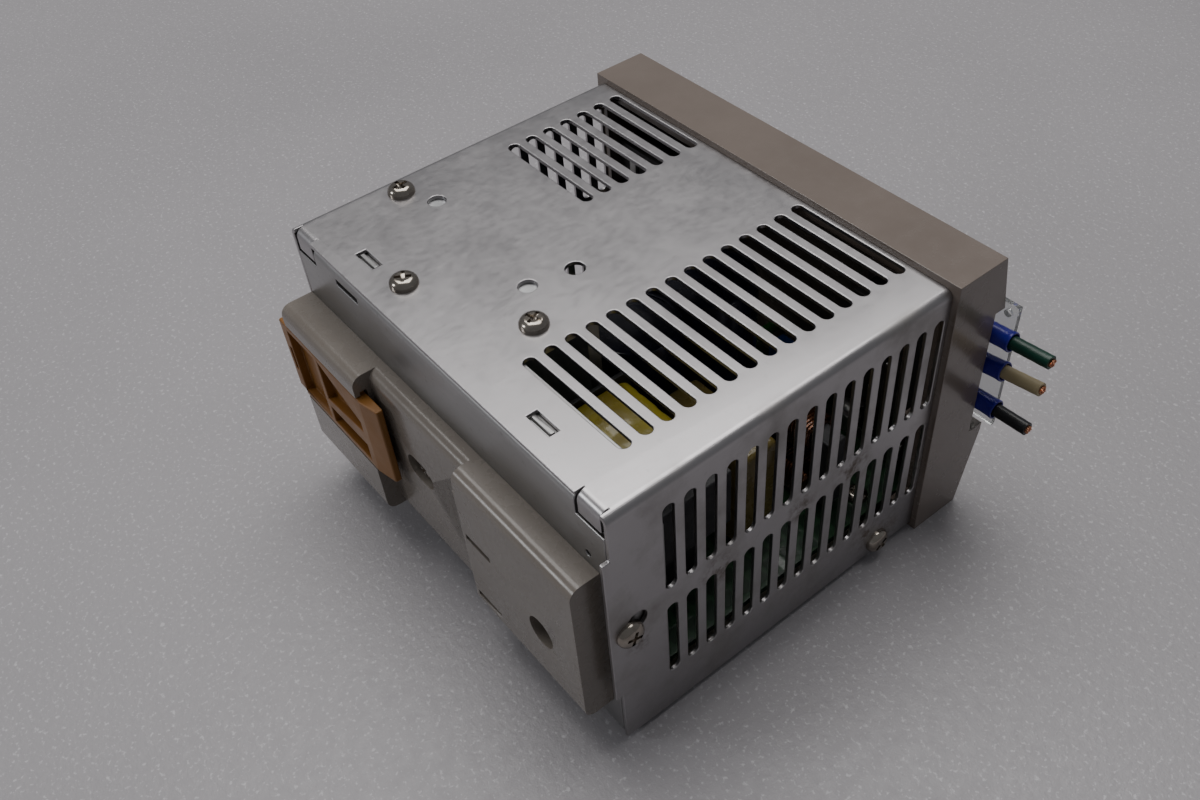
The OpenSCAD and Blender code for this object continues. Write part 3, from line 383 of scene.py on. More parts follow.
# printed paper label: off-white with plain rules, no lettering
def labelFinish():
    material, shader, where = startMaterial("label")
    low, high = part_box("front_label")
    place = addNode(where, "SeparateXYZ", {0: where}).outputs
    across = mask(place["X"], low.x, high.x)
    upward = mask(place["Z"], low.z, high.z)
    rules = combine("PINGPONG", upward, 0.1)
    lines = mask(rules, 0.012, 0.006)
    inside = times(mask(across, 0.07, 0.075), mask(across, 0.93, 0.925))
    edge = times(mask(upward, 0.12, 0.125), mask(upward, 0.88, 0.875))
    ink = times(times(lines, inside), edge)
    paper = blendColour(cloud(where, 120.0, 4.0), (0.66, 0.65, 0.61), (0.58, 0.57, 0.53))
    printed = blendColour(times(ink, 0.8), paper, (0.10, 0.10, 0.11))
    rough = between(cloud(where, 300.0), 0.35, 0.5)
    fill(shader, {"Base Color": printed, "Roughness": rough})
    addBump(shader, cloud(where, 2500.0, 2.0), 0.008)
    return material


paint = {name: plainFinish(name, look) for name, look in finishes.items()}
paint.update({name: sheetFinish(name, look) for name, look in sheetLooks.items()})
paint.update({name: toneFinish(name, look) for name, look in toneLooks.items()})
paint.update({"board": boardFinish(), "tape_yellow": tapeFinish(), "label": labelFinish()})
print("materials:", len(paint))


# a flat square with its own speckled finish, whose bright specks are painted glints
def makeFloor():
    material, shader, where = startMaterial("floor")
    tone = cloud(where, 6.0, 3.0)
    # painted glints: the mask of bright specks that stand in for the floor's sparkle
    paintedGlint = mask(cloud(where, floorSet["paintedGlint"], 2.0, rough=0.6), 0.58, 0.70)
    colour = blendColour(mask(tone, 0.3, 0.7), floorSet["pale"], floorSet["dim"])
    colour = blendColour(times(paintedGlint, 0.5), colour, floorSet["paintedGlintTint"])
    rough = between(cloud(where, 300.0), 0.34, 0.52)
    fill(shader, {"Base Color": colour, "Roughness": rough})
    addBump(shader, cloud(where, floorSet["pebble"], 4.0, rough=0.7), floorSet["pebbleDepth"])
    half = floorSet["size"] / 2
    mesh = bpy.data.meshes.new("floor")
    corners = [(-half, -half, 0), (half, -half, 0), (half, half, 0), (-half, half, 0)]
    mesh.from_pydata(corners, [], [(0, 1, 2, 3)])
    mesh.materials.append(material)
    floor = bpy.data.objects.new("floor", mesh)
    bpy.context.scene.collection.objects.link(floor)


makeFloor()

# mesh tools

slotOf = {part["node"]: part["material_slot"] for part in frame["record"]["subparts"]}
bodyOf = {node: body for body, nodes in frame["record"]["behaviour"]["bodies"].items() for node in nodes}


# a grid of points as a closed surface: the last column joins the first, and so does the last row where it is
# looped, or else fans to their middles close the two end rings
def gridPart(points, looped=False):
    rows, columns = points.shape[:2]
    i, j = np.meshgrid(np.arange(rows if looped else rows - 1), np.arange(columns), indexing="ij")
    i, j = i.ravel(), j.ravel()
    i2, j2 = (i + 1) % rows, (j + 1) % columns
    faces = [np.stack([i * columns + j, i * columns + j2, i2 * columns + j2, i2 * columns + j], -1)]
    flat = points.reshape(-1, 3)
    if not looped:
        ring = np.arange(columns)
        after = (ring + 1) % columns
        last = (rows - 1) * columns
        middles = points[[0, -1]].mean(1)
        faces.append(np.stack([after, ring, np.full(columns, rows * columns)], -1))
        faces.append(np.stack([ring + last, after + last, np.full(columns, rows * columns + 1)], -1))
        flat = np.vstack([flat, middles])
    return flat, faces


# the direction square to two others, made one long
def squareTo(a, b):
    made = np.cross(a, b)
    return made / np.linalg.norm(made, axis=-1, keepdims=True)


# the axis made one long, and two directions across it
def acrossAxis(axis):
    axis = np.array(axis, float) / np.linalg.norm(axis)
    helper = np.array([0.0, 0.0, 1.0]) if abs(axis[2]) < 0.9 else np.array([1.0, 0.0, 0.0])
    u = squareTo(helper, axis)
    return axis, u, np.cross(axis, u)


# the angles of so many points round a ring
def roundTurn(sides):
    return np.linspace(0, 2 * np.pi, sides, endpoint=False)


# profile of (radius, height) in mm, turned: point = at + height x axis + radius x (cos u + sin v)
def turned(profile, at, axis=(0, 0, 1), sides=32, looped=False):
    axis, u, v = acrossAxis(axis)
    angle = roundTurn(sides)[:, None]
    ring = np.cos(angle) * u + np.sin(angle) * v
    profile = np.array(profile, float) * mm
    points = at + profile[:, 1, None, None] * axis + profile[:, 0, None, None] * ring
    return gridPart(points, looped=looped)


# rod of a radius in mm along a path: each ring stands square to the path, kept upright by a fixed direction
def rod(path, radius, sides=10, upright=(0, 0, 1)):
    path = np.asarray(path, float)
    ahead = np.gradient(path, axis=0)
    u = squareTo(np.asarray(upright, float)[None], ahead)
    v = squareTo(ahead, u)
    angle = roundTurn(sides)[None, :, None]
    return gridPart(path[:, None] + radius * mm * (np.cos(angle) * u[:, None] + np.sin(angle) * v[:, None]))


# box with every edge rounded: a ball of radius r cut into eight and drawn apart to the corners
def roundedBox(low, high, r, steps=3):
    low, high = np.minimum(low, high), np.maximum(low, high)
    middle, half = (low + high) / 2, (high - low) / 2
    r = min(r * mm, half.min() * 0.98)
    quarter = np.linspace(0, np.pi / 2, steps + 1)
    turn = np.concatenate([quarter + k * np.pi / 2 for k in range(4)])
    side = np.repeat([[1, 1], [-1, 1], [-1, -1], [1, -1]], steps + 1, 0)
    lift = np.concatenate([quarter - np.pi / 2, quarter])
    floor = np.repeat([-1, 1], steps + 1)
    x = side[:, 0] * (half[0] - r) + r * np.cos(lift)[:, None] * np.cos(turn)
    y = side[:, 1] * (half[1] - r) + r * np.cos(lift)[:, None] * np.sin(turn)
    z = np.broadcast_to((floor * (half[2] - r) + r * np.sin(lift))[:, None], x.shape)
    return gridPart(middle + np.stack([x, y, z], -1))


# joins parts into one piece, merges what coincides and turns every shell outwards
def makePiece(name, parts, material, body="case", stands=(), crease=35):
    points = np.vstack([p[0] for p in parts]).astype(np.float32)
    loops, starts, totals, first, begun = [], [], [], 0, 0
    for part in parts:
        for faces in part[1]:
            loops.append((faces + first).ravel())
            starts.append(begun + np.arange(len(faces)) * faces.shape[1])
            totals.append(np.full(len(faces), faces.shape[1]))
            begun += faces.size
        first += len(part[0])
    loops, starts, totals = (np.concatenate(x).astype(np.int32) for x in (loops, starts, totals))
    mesh = bpy.data.meshes.new(name)
    mesh.vertices.add(len(points))
    mesh.vertices.foreach_set("co", points.ravel())
    mesh.loops.add(len(loops))
    mesh.loops.foreach_set("vertex_index", loops)
    mesh.polygons.add(len(starts))
    mesh.polygons.foreach_set("loop_start", starts)
    mesh.update(calc_edges=True)
    shell = bmesh.new()
    shell.from_mesh(mesh)
    bmesh.ops.remove_doubles(shell, verts=shell.verts, dist=2e-7)
    bmesh.ops.recalc_face_normals(shell, faces=shell.faces)
    shell.to_mesh(mesh)
    shell.free()
    return finishPiece(name, mesh, material, body, stands, crease)


# paints a mesh, shades it smooth up to the crease angle, and says what it rides on and what it replaces
def finishPiece(name, mesh, material, body, stands, crease):
    mesh.materials.clear()
    mesh.materials.append(paint[material])
    mesh.polygons.foreach_set("use_smooth", np.ones(len(mesh.polygons), bool))
    mesh.set_sharp_from_angle(angle=math.radians(crease))
    piece = bpy.data.objects.new(name, mesh)
    bpy.context.scene.collection.objects.link(piece)
    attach(piece, body)
    if stands:
        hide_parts(*stands)
    return piece


# the separate solids of a node, as point arrays: each point starts with its own number, and the lowest one
# spreads along the edges until each solid has one
def solidsOf(node):
    mesh = frame["nodes"][node].data
    points = np.zeros(len(mesh.vertices) * 3, np.float32)
    mesh.vertices.foreach_get("co", points)
    points = points.reshape(-1, 3).astype(float)
    edges = np.zeros(len(mesh.edges) * 2, np.int32)
    mesh.edges.foreach_get("vertices", edges)
    places, index = np.unique(np.round(points * 1e6).astype(np.int64), axis=0, return_inverse=True)
    index = index.ravel()
    a, b = index[edges[0::2]], index[edges[1::2]]
    number = np.arange(len(places))
    while True:
        least = np.minimum(number[a], number[b])
        spread = number.copy()
        np.minimum.at(spread, a, least)
        np.minimum.at(spread, b, least)
        spread = spread[spread]
        if (spread == number).all():
            break
        number = spread
    found = [points[number[index] == k] for k in np.unique(number)]
    return sorted(found, key=lambda p: tuple(np.round(p.min(0), 5)))


def boxOf(points):
    return points.min(0), points.max(0)


# a CAD node's own shape with softened edges: outer is the width where an edge lies on two planes of its hull,
# inner the width of all the others
def softened(node, look):
    mesh = frame["nodes"][node].data.copy()
    shell = bmesh.new()
    shell.from_mesh(mesh)
    bmesh.ops.remove_doubles(shell, verts=shell.verts, dist=1e-6)
    bmesh.ops.dissolve_limit(shell, angle_limit=math.radians(0.6), verts=shell.verts, edges=shell.edges)
    hull = bmesh.new()
    for v in shell.verts:
        hull.verts.new(v.co)
    bmesh.ops.convex_hull(hull, input=hull.verts)
    hull.normal_update()
    planes = np.array([(*f.normal, f.normal.dot(f.verts[0].co)) for f in hull.faces if f.calc_area() > 1e-9])
    hull.free()
    rounded = np.round(planes * [1e3, 1e3, 1e3, 1e6]).astype(np.int64)
    planes = planes[np.unique(rounded, axis=0, return_index=True)[1]]
    shell.verts.ensure_lookup_table()
    points = np.array([v.co for v in shell.verts])
    touching = np.abs(points @ planes[:, :3].T - planes[:, 3]) < 2e-6
    weight = shell.edges.layers.float.new("bevel_weight_edge")
    inner = look.get("inner", look["outer"]) / look["outer"]
    for edge in shell.edges:
        if len(edge.link_faces) == 2 and edge.calc_face_angle(0) > math.radians(28):
            a, b = edge.verts[0].index, edge.verts[1].index
            edge[weight] = 1.0 if (touching[a] & touching[b]).sum() > 1 else inner
    shell.to_mesh(mesh)
    shell.free()
    words = node.split("_")
    name = words[0] + "".join(w.capitalize() for w in words[1:]) + "Shell"
    piece = finishPiece(name, mesh, slotOf[node], bodyOf[node], [node], 35)
    bevel = piece.modifiers.new("softEdges", "BEVEL")
    bevel.limit_method = "WEIGHT"
    bevel.width = look["outer"] * mm
    bevel.segments = look.get("segments", 2)
    bevel.use_clamp_overlap = look.get("clamp", True)
    bevel.harden_normals = True
    bevel.loop_slide = False
    return piece


for name, node in frame["nodes"].items():
    node.data.materials.clear()
    node.data.materials.append(paint[slotOf[name]])
print("mesh tools ready, CAD nodes painted")

# CAD shapes that only need their edges softened, in mm

softEdges = {
    "vented_cover": {"outer": 0.22, "clamp": False},
    "chassis": {"outer": 0.22, "clamp": False},
    "front_cover": {"outer": 0.9, "inner": 0.25, "segments": 3},
    "rail_adapter": {"outer": 0.5, "inner": 0.1, "segments": 3},
    "rail_latch": {"outer": 0.4, "inner": 0.22},
    "input_terminal_block": {"outer": 0.3, "inner": 0.2},
    "output_terminal_block": {"outer": 0.3, "inner": 0.2},
    "input_cover": {"outer": 0.3, "inner": 0.15},
    "output_cover": {"outer": 0.3, "inner": 0.15},
    "terminal_plates": {"outer": 0.15},
    "terminal_links": {"outer": 0.12},
    "crimp_terminals": {"outer": 0.12},
    "front_label": {"outer": 0.06},
    "circuit_board": {"outer": 0.15},
    "insulation_sheet": {"outer": 0.05},
    "board_pillars": {"outer": 0.2},
    "heat_sink": {"outer": 0.3},
    "bridge_rectifier": {"outer": 0.25},
    "switching_transistor": {"outer": 0.2},
    "output_diode": {"outer": 0.2},
    "transformer_core": {"outer": 0.4, "inner": 0.2},
    "transformer_bobbin": {"outer": 0.2},
    "line_filter_core": {"outer": 0.4},
    "fuse_clips": {"outer": 0.12},
    "trimmer_body": {"outer": 0.3, "inner": 0.1},
}
for node, look in softEdges.items():
    softened(node, look)
print("softened shells:", len(softEdges))

# screws

screwLook = {
    "cover_screws": {"axis": (0, 0, 1), "turn": 20},
    "side_screws": {"axis": (1, 0, 0), "turn": 35, "outward": True},
    "adapter_screws": {"axis": (0, 1, 0), "turn": 10},
    "board_screws": {"axis": (0, 0, 1), "turn": 50},
    "device_screws": {"axis": (0, -1, 0), "turn": 5},
    "terminal_screws": {"axis": (0, -1, 0), "turn": 30},
}
recess = {"reach": 0.58, "half": 0.125, "deep": 0.52, "round": 2.6}  # parts of the head's radius and height
thread = {"pitch": 0.7, "deep": 0.24, "steps": 5, "sides": 14}  # mm, and rows a turn


# pan head: r = R sin(a)^(2/round), z = h cos(a)^(2/round). The cross is cut out of it on a polar grid whose
# columns follow the sides of its four wings, asin(half / r) each way, and its floor rises towards their ends
def crossHead(at, axis, radius, height, turn, reach=recess["reach"], deep=recess["deep"]):
    axis, u, v = acrossAxis(axis)
    power = 2 / recess["round"]
    end, half = reach * radius, recess["half"] * radius
    a = np.linspace(np.pi / 2, np.arcsin((end / radius) ** (1 / power)), 8)
    outer = [(radius * np.sin(x) ** power, height * np.cos(x) ** power) for x in a]
    flat = outer[-1][1]
    inner = [(r, flat) for r in np.linspace(end, half * 1.4142, 4)]
    rows = [(0.98 * radius, 0.0, False)] + [(r, z, False) for r, z in outer]
    rows += [(r, z, True) for r, z in inner] + [(half * 1.4142, None, True)]
    points = []
    for r, z, cut in rows:
        wing = np.arcsin(min(half / (r if cut else end), np.sin(np.pi / 4)))
        angles = np.concatenate([[-wing, 0, wing], np.linspace(wing, np.pi / 2 - wing, 5)])
        low = height * (1 - deep * (1 - 0.4 * r / end))
        levels = np.array([low] * 3 + [low if z is None else z] * 5) if cut else np.full(8, z)
        for k in range(4):
            angle = angles + k * np.pi / 2 + math.radians(turn)
            ring = np.cos(angle)[:, None] * u + np.sin(angle)[:, None] * v
            points.append(at + (levels[:, None] * axis + r * ring) * mm)
    return gridPart(np.array(points).reshape(len(rows), 32, 3))


# threaded shank: r = outer radius - depth x wave, where the wave is 0 at the crest and 1 in the groove, and
# climbs one pitch a turn
def threadedShank(at, axis, radius, length):
    axis, u, v = acrossAxis(axis)
    rows = int(length / thread["pitch"] * thread["steps"]) + 2
    down = np.linspace(0.02, length, rows)[:, None]
    angle = roundTurn(thread["sides"])[None]
    wave = np.abs((down / thread["pitch"] + angle / (2 * np.pi)) % 1 * 2 - 1)
    r = radius - thread["deep"] * wave
    r[-1] *= 0.7
    ring = np.cos(angle)[..., None] * u + np.sin(angle)[..., None] * v
    return gridPart(at - (down[..., None] * axis - r[..., None] * ring) * mm)


# each screw's seat, head and shank come from its CAD solid; each cross is turned further than the last
def makeScrews(node, look):
    parts = []
    for i, points in enumerate(solidsOf(node)):
        axis = np.array(look["axis"], float)
        if look.get("outward"):
            axis *= np.sign(points.mean(0)[0] - caseMiddle.x)
        low, high = boxOf(points)
        middle = (low + high) / 2
        along = (points - middle) @ axis
        away = np.linalg.norm(points - middle - along[:, None] * axis, axis=1)
        head = away.max()
        seat = along[away > 0.9 * head].min()
        shank = away[along < along.min() + 1e-5].max()
        at = middle + seat * axis
        parts.append(crossHead(at, axis, head / mm, (along.max() - seat) / mm, look["turn"] + 37 * i))
        parts.append(threadedShank(at, axis, shank / mm, (seat - along.min()) / mm))
    makePiece(node.split("_")[0] + "ScrewSet", parts, "screw_metal", stands=[node], crease=30)


for node, look in screwLook.items():
    makeScrews(node, look)
print("screws:", len(screwLook), "sets")

# wires and their sleeves

wireSet = {"wall": 0.56, "ragged": 0.12, "strand": 0.185, "lay": 14.0}  # mm


# middle, direction towards -X, and the far and near end along it, of a long round solid
def axisOf(points):
    middle = points.mean(0)
    along = np.linalg.svd(points - middle)[2][0]
    along *= -np.sign(along[0])
    run = (points - middle) @ along
    away = np.linalg.norm(points - middle - run[:, None] * along, axis=1)
    return middle, along, run.min() / mm, run.max() / mm, away.max() / mm


# insulation: a thick tube, its cut end a little ragged, always inwards
def makeInsulation(node, material):
    middle, along, near, far, radius = axisOf(solidsOf(node)[0])
    bore = radius - wireSet["wall"]
    profile = [(radius - 0.06, near), (radius, near + 0.1)]
    step = (far - near) / 12
    profile += [(radius + 0.02 * math.sin(k * 2.1) - 0.02, near + step * k) for k in range(1, 12)]
    profile += [(radius, far - 0.14), (radius - 0.07, far - 0.02), (radius - 0.3, far)]
    profile += [(bore, far - 0.05), (bore, near)]
    points, faces = turned(profile, middle, along, 30, looped=True)
    run = (points - middle) @ along / mm
    angle = np.arange(len(points)) % 30 * 2 * np.pi / 30
    torn = wireSet["ragged"] * (0.5 + 0.25 * np.sin(3 * angle + near) + 0.25 * np.sin(7 * angle))
    points = points - (np.clip((run - far + 0.4) / 0.4, 0, 1) * torn * mm)[:, None] * along
    makePiece(node.replace("wire_", "") + "Insulation", [(points, faces)], material, stands=[node])


# nineteen strands in three layers, each a helix round the middle of the wire
def makeStrands():
    parts = []
    for w, solid in enumerate(solidsOf("wire_strands")):
        middle, along, near, far, radius = axisOf(solid)
        across = acrossAxis(along)[1:]
        layers = [(0, 1), (0.37, 6), (radius - wireSet["strand"] - 0.01, 12)]
        for ring, count in layers:
            for k in range(count):
                stop = far - 0.25 * abs(math.sin(5.3 * k + 2.1 * ring + w))
                run = np.linspace(near, stop, 18)
                turn = run * 2 * np.pi / wireSet["lay"] + 2 * np.pi * k / count
                away = ring * (np.cos(turn)[:, None] * across[0] + np.sin(turn)[:, None] * across[1])
                path = middle + (run[:, None] * along + away) * mm
                parts.append(rod(path, wireSet["strand"], 7, upright=across[0]))
    makePiece("copperStrands", parts, "copper", stands=["wire_strands"])


sleeveSet = {
    "bore": 1.66,
    "wall": 0.35,  # at the lip
    "dent": 0.22,  # how deep each crimp presses in, how wide it is, and where they are along the sleeve
    "dentWide": 0.55,
    "dentsAt": (0.26, 0.46),
    # how far below the full radius the outside is, from the terminal to the lip round the wire
    "outline": [(0, 0.5), (0.06, 0.16), (0.2, 0.1), (0.5, 0.1), (0.72, 0.14), (0.86, 0.1), (0.94, 0.0),
                (0.985, 0.0), (1.0, 0.1)],
}


# sleeves: a flared lip round the wire, a soft body, and two crimp dents pressed into the side towards the
# front, each a bell curve of the way along it
def makeSleeves():
    parts = []
    for solid in solidsOf("crimp_sleeves"):
        middle, along, near, far, radius = axisOf(solid)
        bore = sleeveSet["bore"]
        place, drop = np.array(sleeveSet["outline"]).T
        t = np.unique(np.concatenate([np.linspace(0, 1, 26), place]))
        outer = [(radius - np.interp(x, place, drop), near + (far - near) * x) for x in t]
        inner = [(radius - sleeveSet["wall"], far - 0.02), (bore + 0.15, far - 0.5)]
        inner += [(bore, far - 1.2), (bore, near + 0.1)]
        points, faces = turned(outer + inner, middle, along, 32, looped=True)
        run = (points - middle) @ along / mm
        away = points - middle - ((points - middle) @ along)[:, None] * along
        front = np.clip(-away[:, 1] / (radius * mm), 0, 1)
        wide = sleeveSet["dentWide"]
        dent = sum(np.exp(-((run - near - (far - near) * x) / wide) ** 2) for x in sleeveSet["dentsAt"])
        outside = np.linalg.norm(away, axis=1) > (bore + 0.2) * mm
        points = points - away * (sleeveSet["dent"] * dent * front ** 2 * outside / radius)[:, None]
        parts.append((points, faces))
    makePiece("blueSleeves", parts, "sleeve_blue", stands=["crimp_sleeves"])


makeInsulation("wire_green", "wire_green_pvc")
makeInsulation("wire_cream", "wire_cream_pvc")
makeInsulation("wire_black", "wire_black_pvc")
makeStrands()
makeSleeves()
print("wires ready")

# latch spring

springSet = {"turns": 8.5, "wire": 0.2, "steps": 16, "travel": 7}  # travel is the latch's, in mm


# a coil, y = r cos(turn), z = r sin(turn), with x climbing slowly in its end turns
def makeSpring():
    low, high = boxOf(solidsOf("latch_spring")[0])
    low, high = low / mm, high / mm
    middle = (low + high) / 2
    wire = springSet["wire"]
    radius = (high[1] - low[1]) / 2 - wire
    t = np.linspace(0, 1, int(springSet["turns"] * springSet["steps"]) + 1)
    climb = np.interp(t, [0, 0.1, 0.9, 1], [0, 0.045, 0.955, 1])
    x = low[0] + wire + (high[0] - low[0] - 2 * wire) * climb
    turn = t * springSet["turns"] * 2 * np.pi
    path = np.stack([x, middle[1] + radius * np.cos(turn), middle[2] + radius * np.sin(turn)], -1) * mm
    coil = rod(path, wire, 8, upright=(1, 0, 0))
    spring = makePiece("latchSpring", [coil], "spring_steel", stands=["latch_spring"])
    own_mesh(spring)


makeSpring()

# parts on the board, in mm

boardTop = 9.6  # above the lower panel
canSet = {"endInset": 1.5, "endHeight": 0.45, "scoreTurn": 25, "scoreReach": 0.8, "scoreDeep": 0.5}


# capacitor cans: sleeve with a groove near the foot and a lip round the top, and a scored aluminium end in
# endPaint, which is black painted shade on the input cans
def makeCans(node, name, material, endPaint):
    sleeves, ends = [], []
    for solid in solidsOf(node):
        low, high = boxOf(solid)
        r, h = (high[0] - low[0]) / 2 / mm, (high[2] - low[2]) / mm
        at = np.array([(low[0] + high[0]) / 2, (low[1] + high[1]) / 2, low[2]])
        foot = [(r - 0.6, 0.02), (r - 0.1, 0.3), (r, 0.7), (r - 0.05, 1.5), (r - 0.6, 1.9), (r - 0.62, 2.2),
                (r - 0.05, 2.7)]
        end = r - canSet["endInset"]
        top = [(r - 0.02, h * 0.5), (r, h - 0.9), (r - 0.2, h - 0.3), (r - 0.7, h - 0.02), (end, h - 0.06),
               (end - 0.05, h - 0.3)]
        sleeves.append(turned(foot + top, at, sides=48))
        ends.append(crossHead(at + np.array([0, 0, (h - 0.7) * mm]), (0, 0, 1), end, canSet["endHeight"],
                              canSet["scoreTurn"], canSet["scoreReach"], canSet["scoreDeep"]))
    makePiece(name, sleeves, material, stands=[node])
    makePiece(name + "Ends", ends, endPaint, crease=25)


# the input cans' ends take black paint: painted shade for the dark inside of the case, where a bright end
# would show through the holes
makeCans("input_capacitors", "inputCans", "can_sleeve", "component_black")
makeCans("output_capacitors", "outputCans", "can_sleeve", "sink")


# pad with a squarish section across X, |y|^n + |z|^n = 1, its ends rounded by e, and laps, which are shallow
# steps all round where sin(laps x pi x run / half length) is over 0.6
def softPad(low, high, n=5.0, e=0.8, laps=0, deep=0.12, sides=40):
    middle, half = (low + high) / 2, (high - low) / 2
    c, s = np.cos(roundTurn(sides)), np.sin(roundTurn(sides))
    y, z = np.sign(c) * np.abs(c) ** (2 / n), np.sign(s) * np.abs(s) ** (2 / n)
    bend = np.linspace(0, np.pi / 2, 4)
    run = np.concatenate([e * (1 - np.cos(bend)), np.linspace(e, 2 * half[0] / mm - e, 4 * laps + 3)[1:-1],
                          2 * half[0] / mm - e * (1 - np.cos(bend[::-1]))])
    inset = np.interp(run, [0, e, 2 * half[0] / mm - e, 2 * half[0] / mm], [1, 0, 0, 1])
    inset = e * (1 - np.sqrt(np.clip(1 - inset ** 2, 0, 1)))
    if laps:
        inset = inset + deep * (np.sin(run * np.pi * laps / half[0] * mm) > 0.6)
    run, inset = run[:, None] * mm, inset[:, None] * mm
    rows = np.stack([run - half[0] + 0 * y, y * (half[1] - inset), z * (half[2] - inset)], -1)
    return gridPart(middle + rows)


coilParts = [softPad(*boxOf(s), n=6.0, e=1.0, laps=3) for s in solidsOf("transformer_winding")]
makePiece("transformerCoil", coilParts, "tape_yellow", stands=["transformer_winding"])

filmSet = {"raised": 1.2, "square": 9.0, "edge": 1.2, "leg": 0.4, "legsAt": (0.15, 0.85)}


# film capacitor: a dipped box with soft edges on two short legs; its olive-brown is its own colour darkened
# as painted shade for the inside of the case
def makeFilmCapacitor():
    low, high = boxOf(solidsOf("film_capacitor")[0])
    raised = low + np.array([0, 0, filmSet["raised"] * mm])
    parts = [softPad(raised, high, n=filmSet["square"], e=filmSet["edge"])]
    for x in filmSet["legsAt"]:
        foot = np.array([low[0] + (high[0] - low[0]) * x, (low[1] + high[1]) / 2, low[2] + 0.05 * mm])
        path = [foot, foot + [0, 0, 0.9 * mm], foot + [0, 0, 2.0 * mm]]
        parts.append(rod(path, filmSet["leg"], 8, upright=(1, 0, 0)))
    makePiece("filmCapacitor", parts, "film_brown", stands=["film_capacitor"])


makeFilmCapacitor()


filterSet = {"wire": 0.42, "square": 0.45, "steps": 20}


# turns of wire on the two arms of the line filter: rounded squares, y = cos^square and z = sin^square with
# their signs kept, each moved on by its own thickness; a pad fills the inside
def makeFilterWindings():
    parts = []
    for solid in solidsOf("line_filter_windings"):
        low, high = boxOf(solid)
        middle, half = (low + high) / 2, (high - low) / 2
        wire, square = filterSet["wire"], filterSet["square"]
        turns = int(2 * half[0] / mm / (2 * wire)) - 1
        t = np.linspace(0, turns, turns * filterSet["steps"] + 1)
        angle = t * 2 * np.pi
        c, s = np.cos(angle), np.sin(angle)
        y, z = np.sign(c) * np.abs(c) ** square, np.sign(s) * np.abs(s) ** square
        x = -half[0] / mm + wire + (2 * half[0] / mm - 2 * wire) * t / turns
        size = half[1:] / mm - wire
        path = middle + np.stack([x, y * size[0], z * size[1]], -1) * mm
        parts.append(rod(path, wire, 7, upright=(1, 0, 0)))
        inside = np.array([half[0] - 0.2 * mm, half[1] - 0.9 * mm, half[2] - 0.9 * mm])
        parts.append(softPad(middle - inside, middle + inside, n=4.0, e=0.3))
    makePiece("filterWindings", parts, "enamel_wire", stands=["line_filter_windings"])


makeFilterWindings()


chokeSet = {"turns": 24, "wire": 0.5, "steps": 18, "start": 0.3, "spread": 325}


# ring choke: a winding whose turns go round the tube while they creep along the ring, and a core, which is a
# torus, (ring + core cos b) round the middle at angle a and core sin b high
def makeChoke():
    low, high = boxOf(solidsOf("output_choke")[0])
    middle = (low + high) / 2
    tube = (high[2] - low[2]) / 2 / mm
    ring = (high[0] - low[0]) / 2 / mm - tube
    turns, wire = chokeSet["turns"], chokeSet["wire"]
    t = np.linspace(0, turns, turns * chokeSet["steps"] + 1)
    around, creep = t * 2 * np.pi, chokeSet["start"] + t / turns * math.radians(chokeSet["spread"])
    reach = ring + (tube - wire) * np.cos(around)
    path = np.stack([reach * np.cos(creep), reach * np.sin(creep), (tube - wire) * np.sin(around)], -1)
    makePiece("chokeWire", [rod(middle + path * mm, wire, 7)], "enamel_wire", stands=["output_choke"])
    a, b = roundTurn(48)[:, None], roundTurn(20)[None]
    core = tube - 2 * wire - 0.05
    out = ring + core * np.cos(b)
    points = np.stack([out * np.cos(a), out * np.sin(a), core * np.sin(b) + 0 * a], -1)
    makePiece("chokeCore", [gridPart(middle + points * mm, looped=True)], "ferrite")


makeChoke()


discSet = {"leg": 0.3, "apart": 2.2}


# disc capacitors: a half-round rim, r - t + t cos(x) out and t sin(x) up, faces that sink to 0.8 t in the
# middle, and two legs
def makeDiscs():
    parts = []
    for solid in solidsOf("safety_capacitors"):
        low, high = boxOf(solid)
        r, t = (high[1] - low[1]) / 2 / mm, (high[0] - low[0]) / 2 / mm
        middle = (low + high) / 2
        a = np.linspace(-np.pi / 2, np.pi / 2, 11)
        profile = [(0.3, -t * 0.8)] + [(r - t + t * np.cos(x), t * np.sin(x)) for x in a] + [(0.3, t * 0.8)]
        parts.append(turned(profile, middle, (1, 0, 0), 36))
        for side in (-1, 1):
            foot = middle + [0, side * discSet["apart"] * mm, 0]
            foot[2] = spot(0, 0, boardTop + 0.1)[2]
            path = [foot, foot + [0, 0, 0.7 * mm], foot + [0, 0, 2.5 * mm]]
            parts.append(rod(path, discSet["leg"], 8, upright=(1, 0, 0)))
    makePiece("discCapacitors", parts, "disc_blue", stands=["safety_capacitors"])


makeDiscs()


# glass and bore are how far the tube's outside and inside are below the caps' radius
fuseSet = {"glass": 0.12, "bore": 0.6, "cap": 4.5, "wire": 0.12, "sag": 0.5}


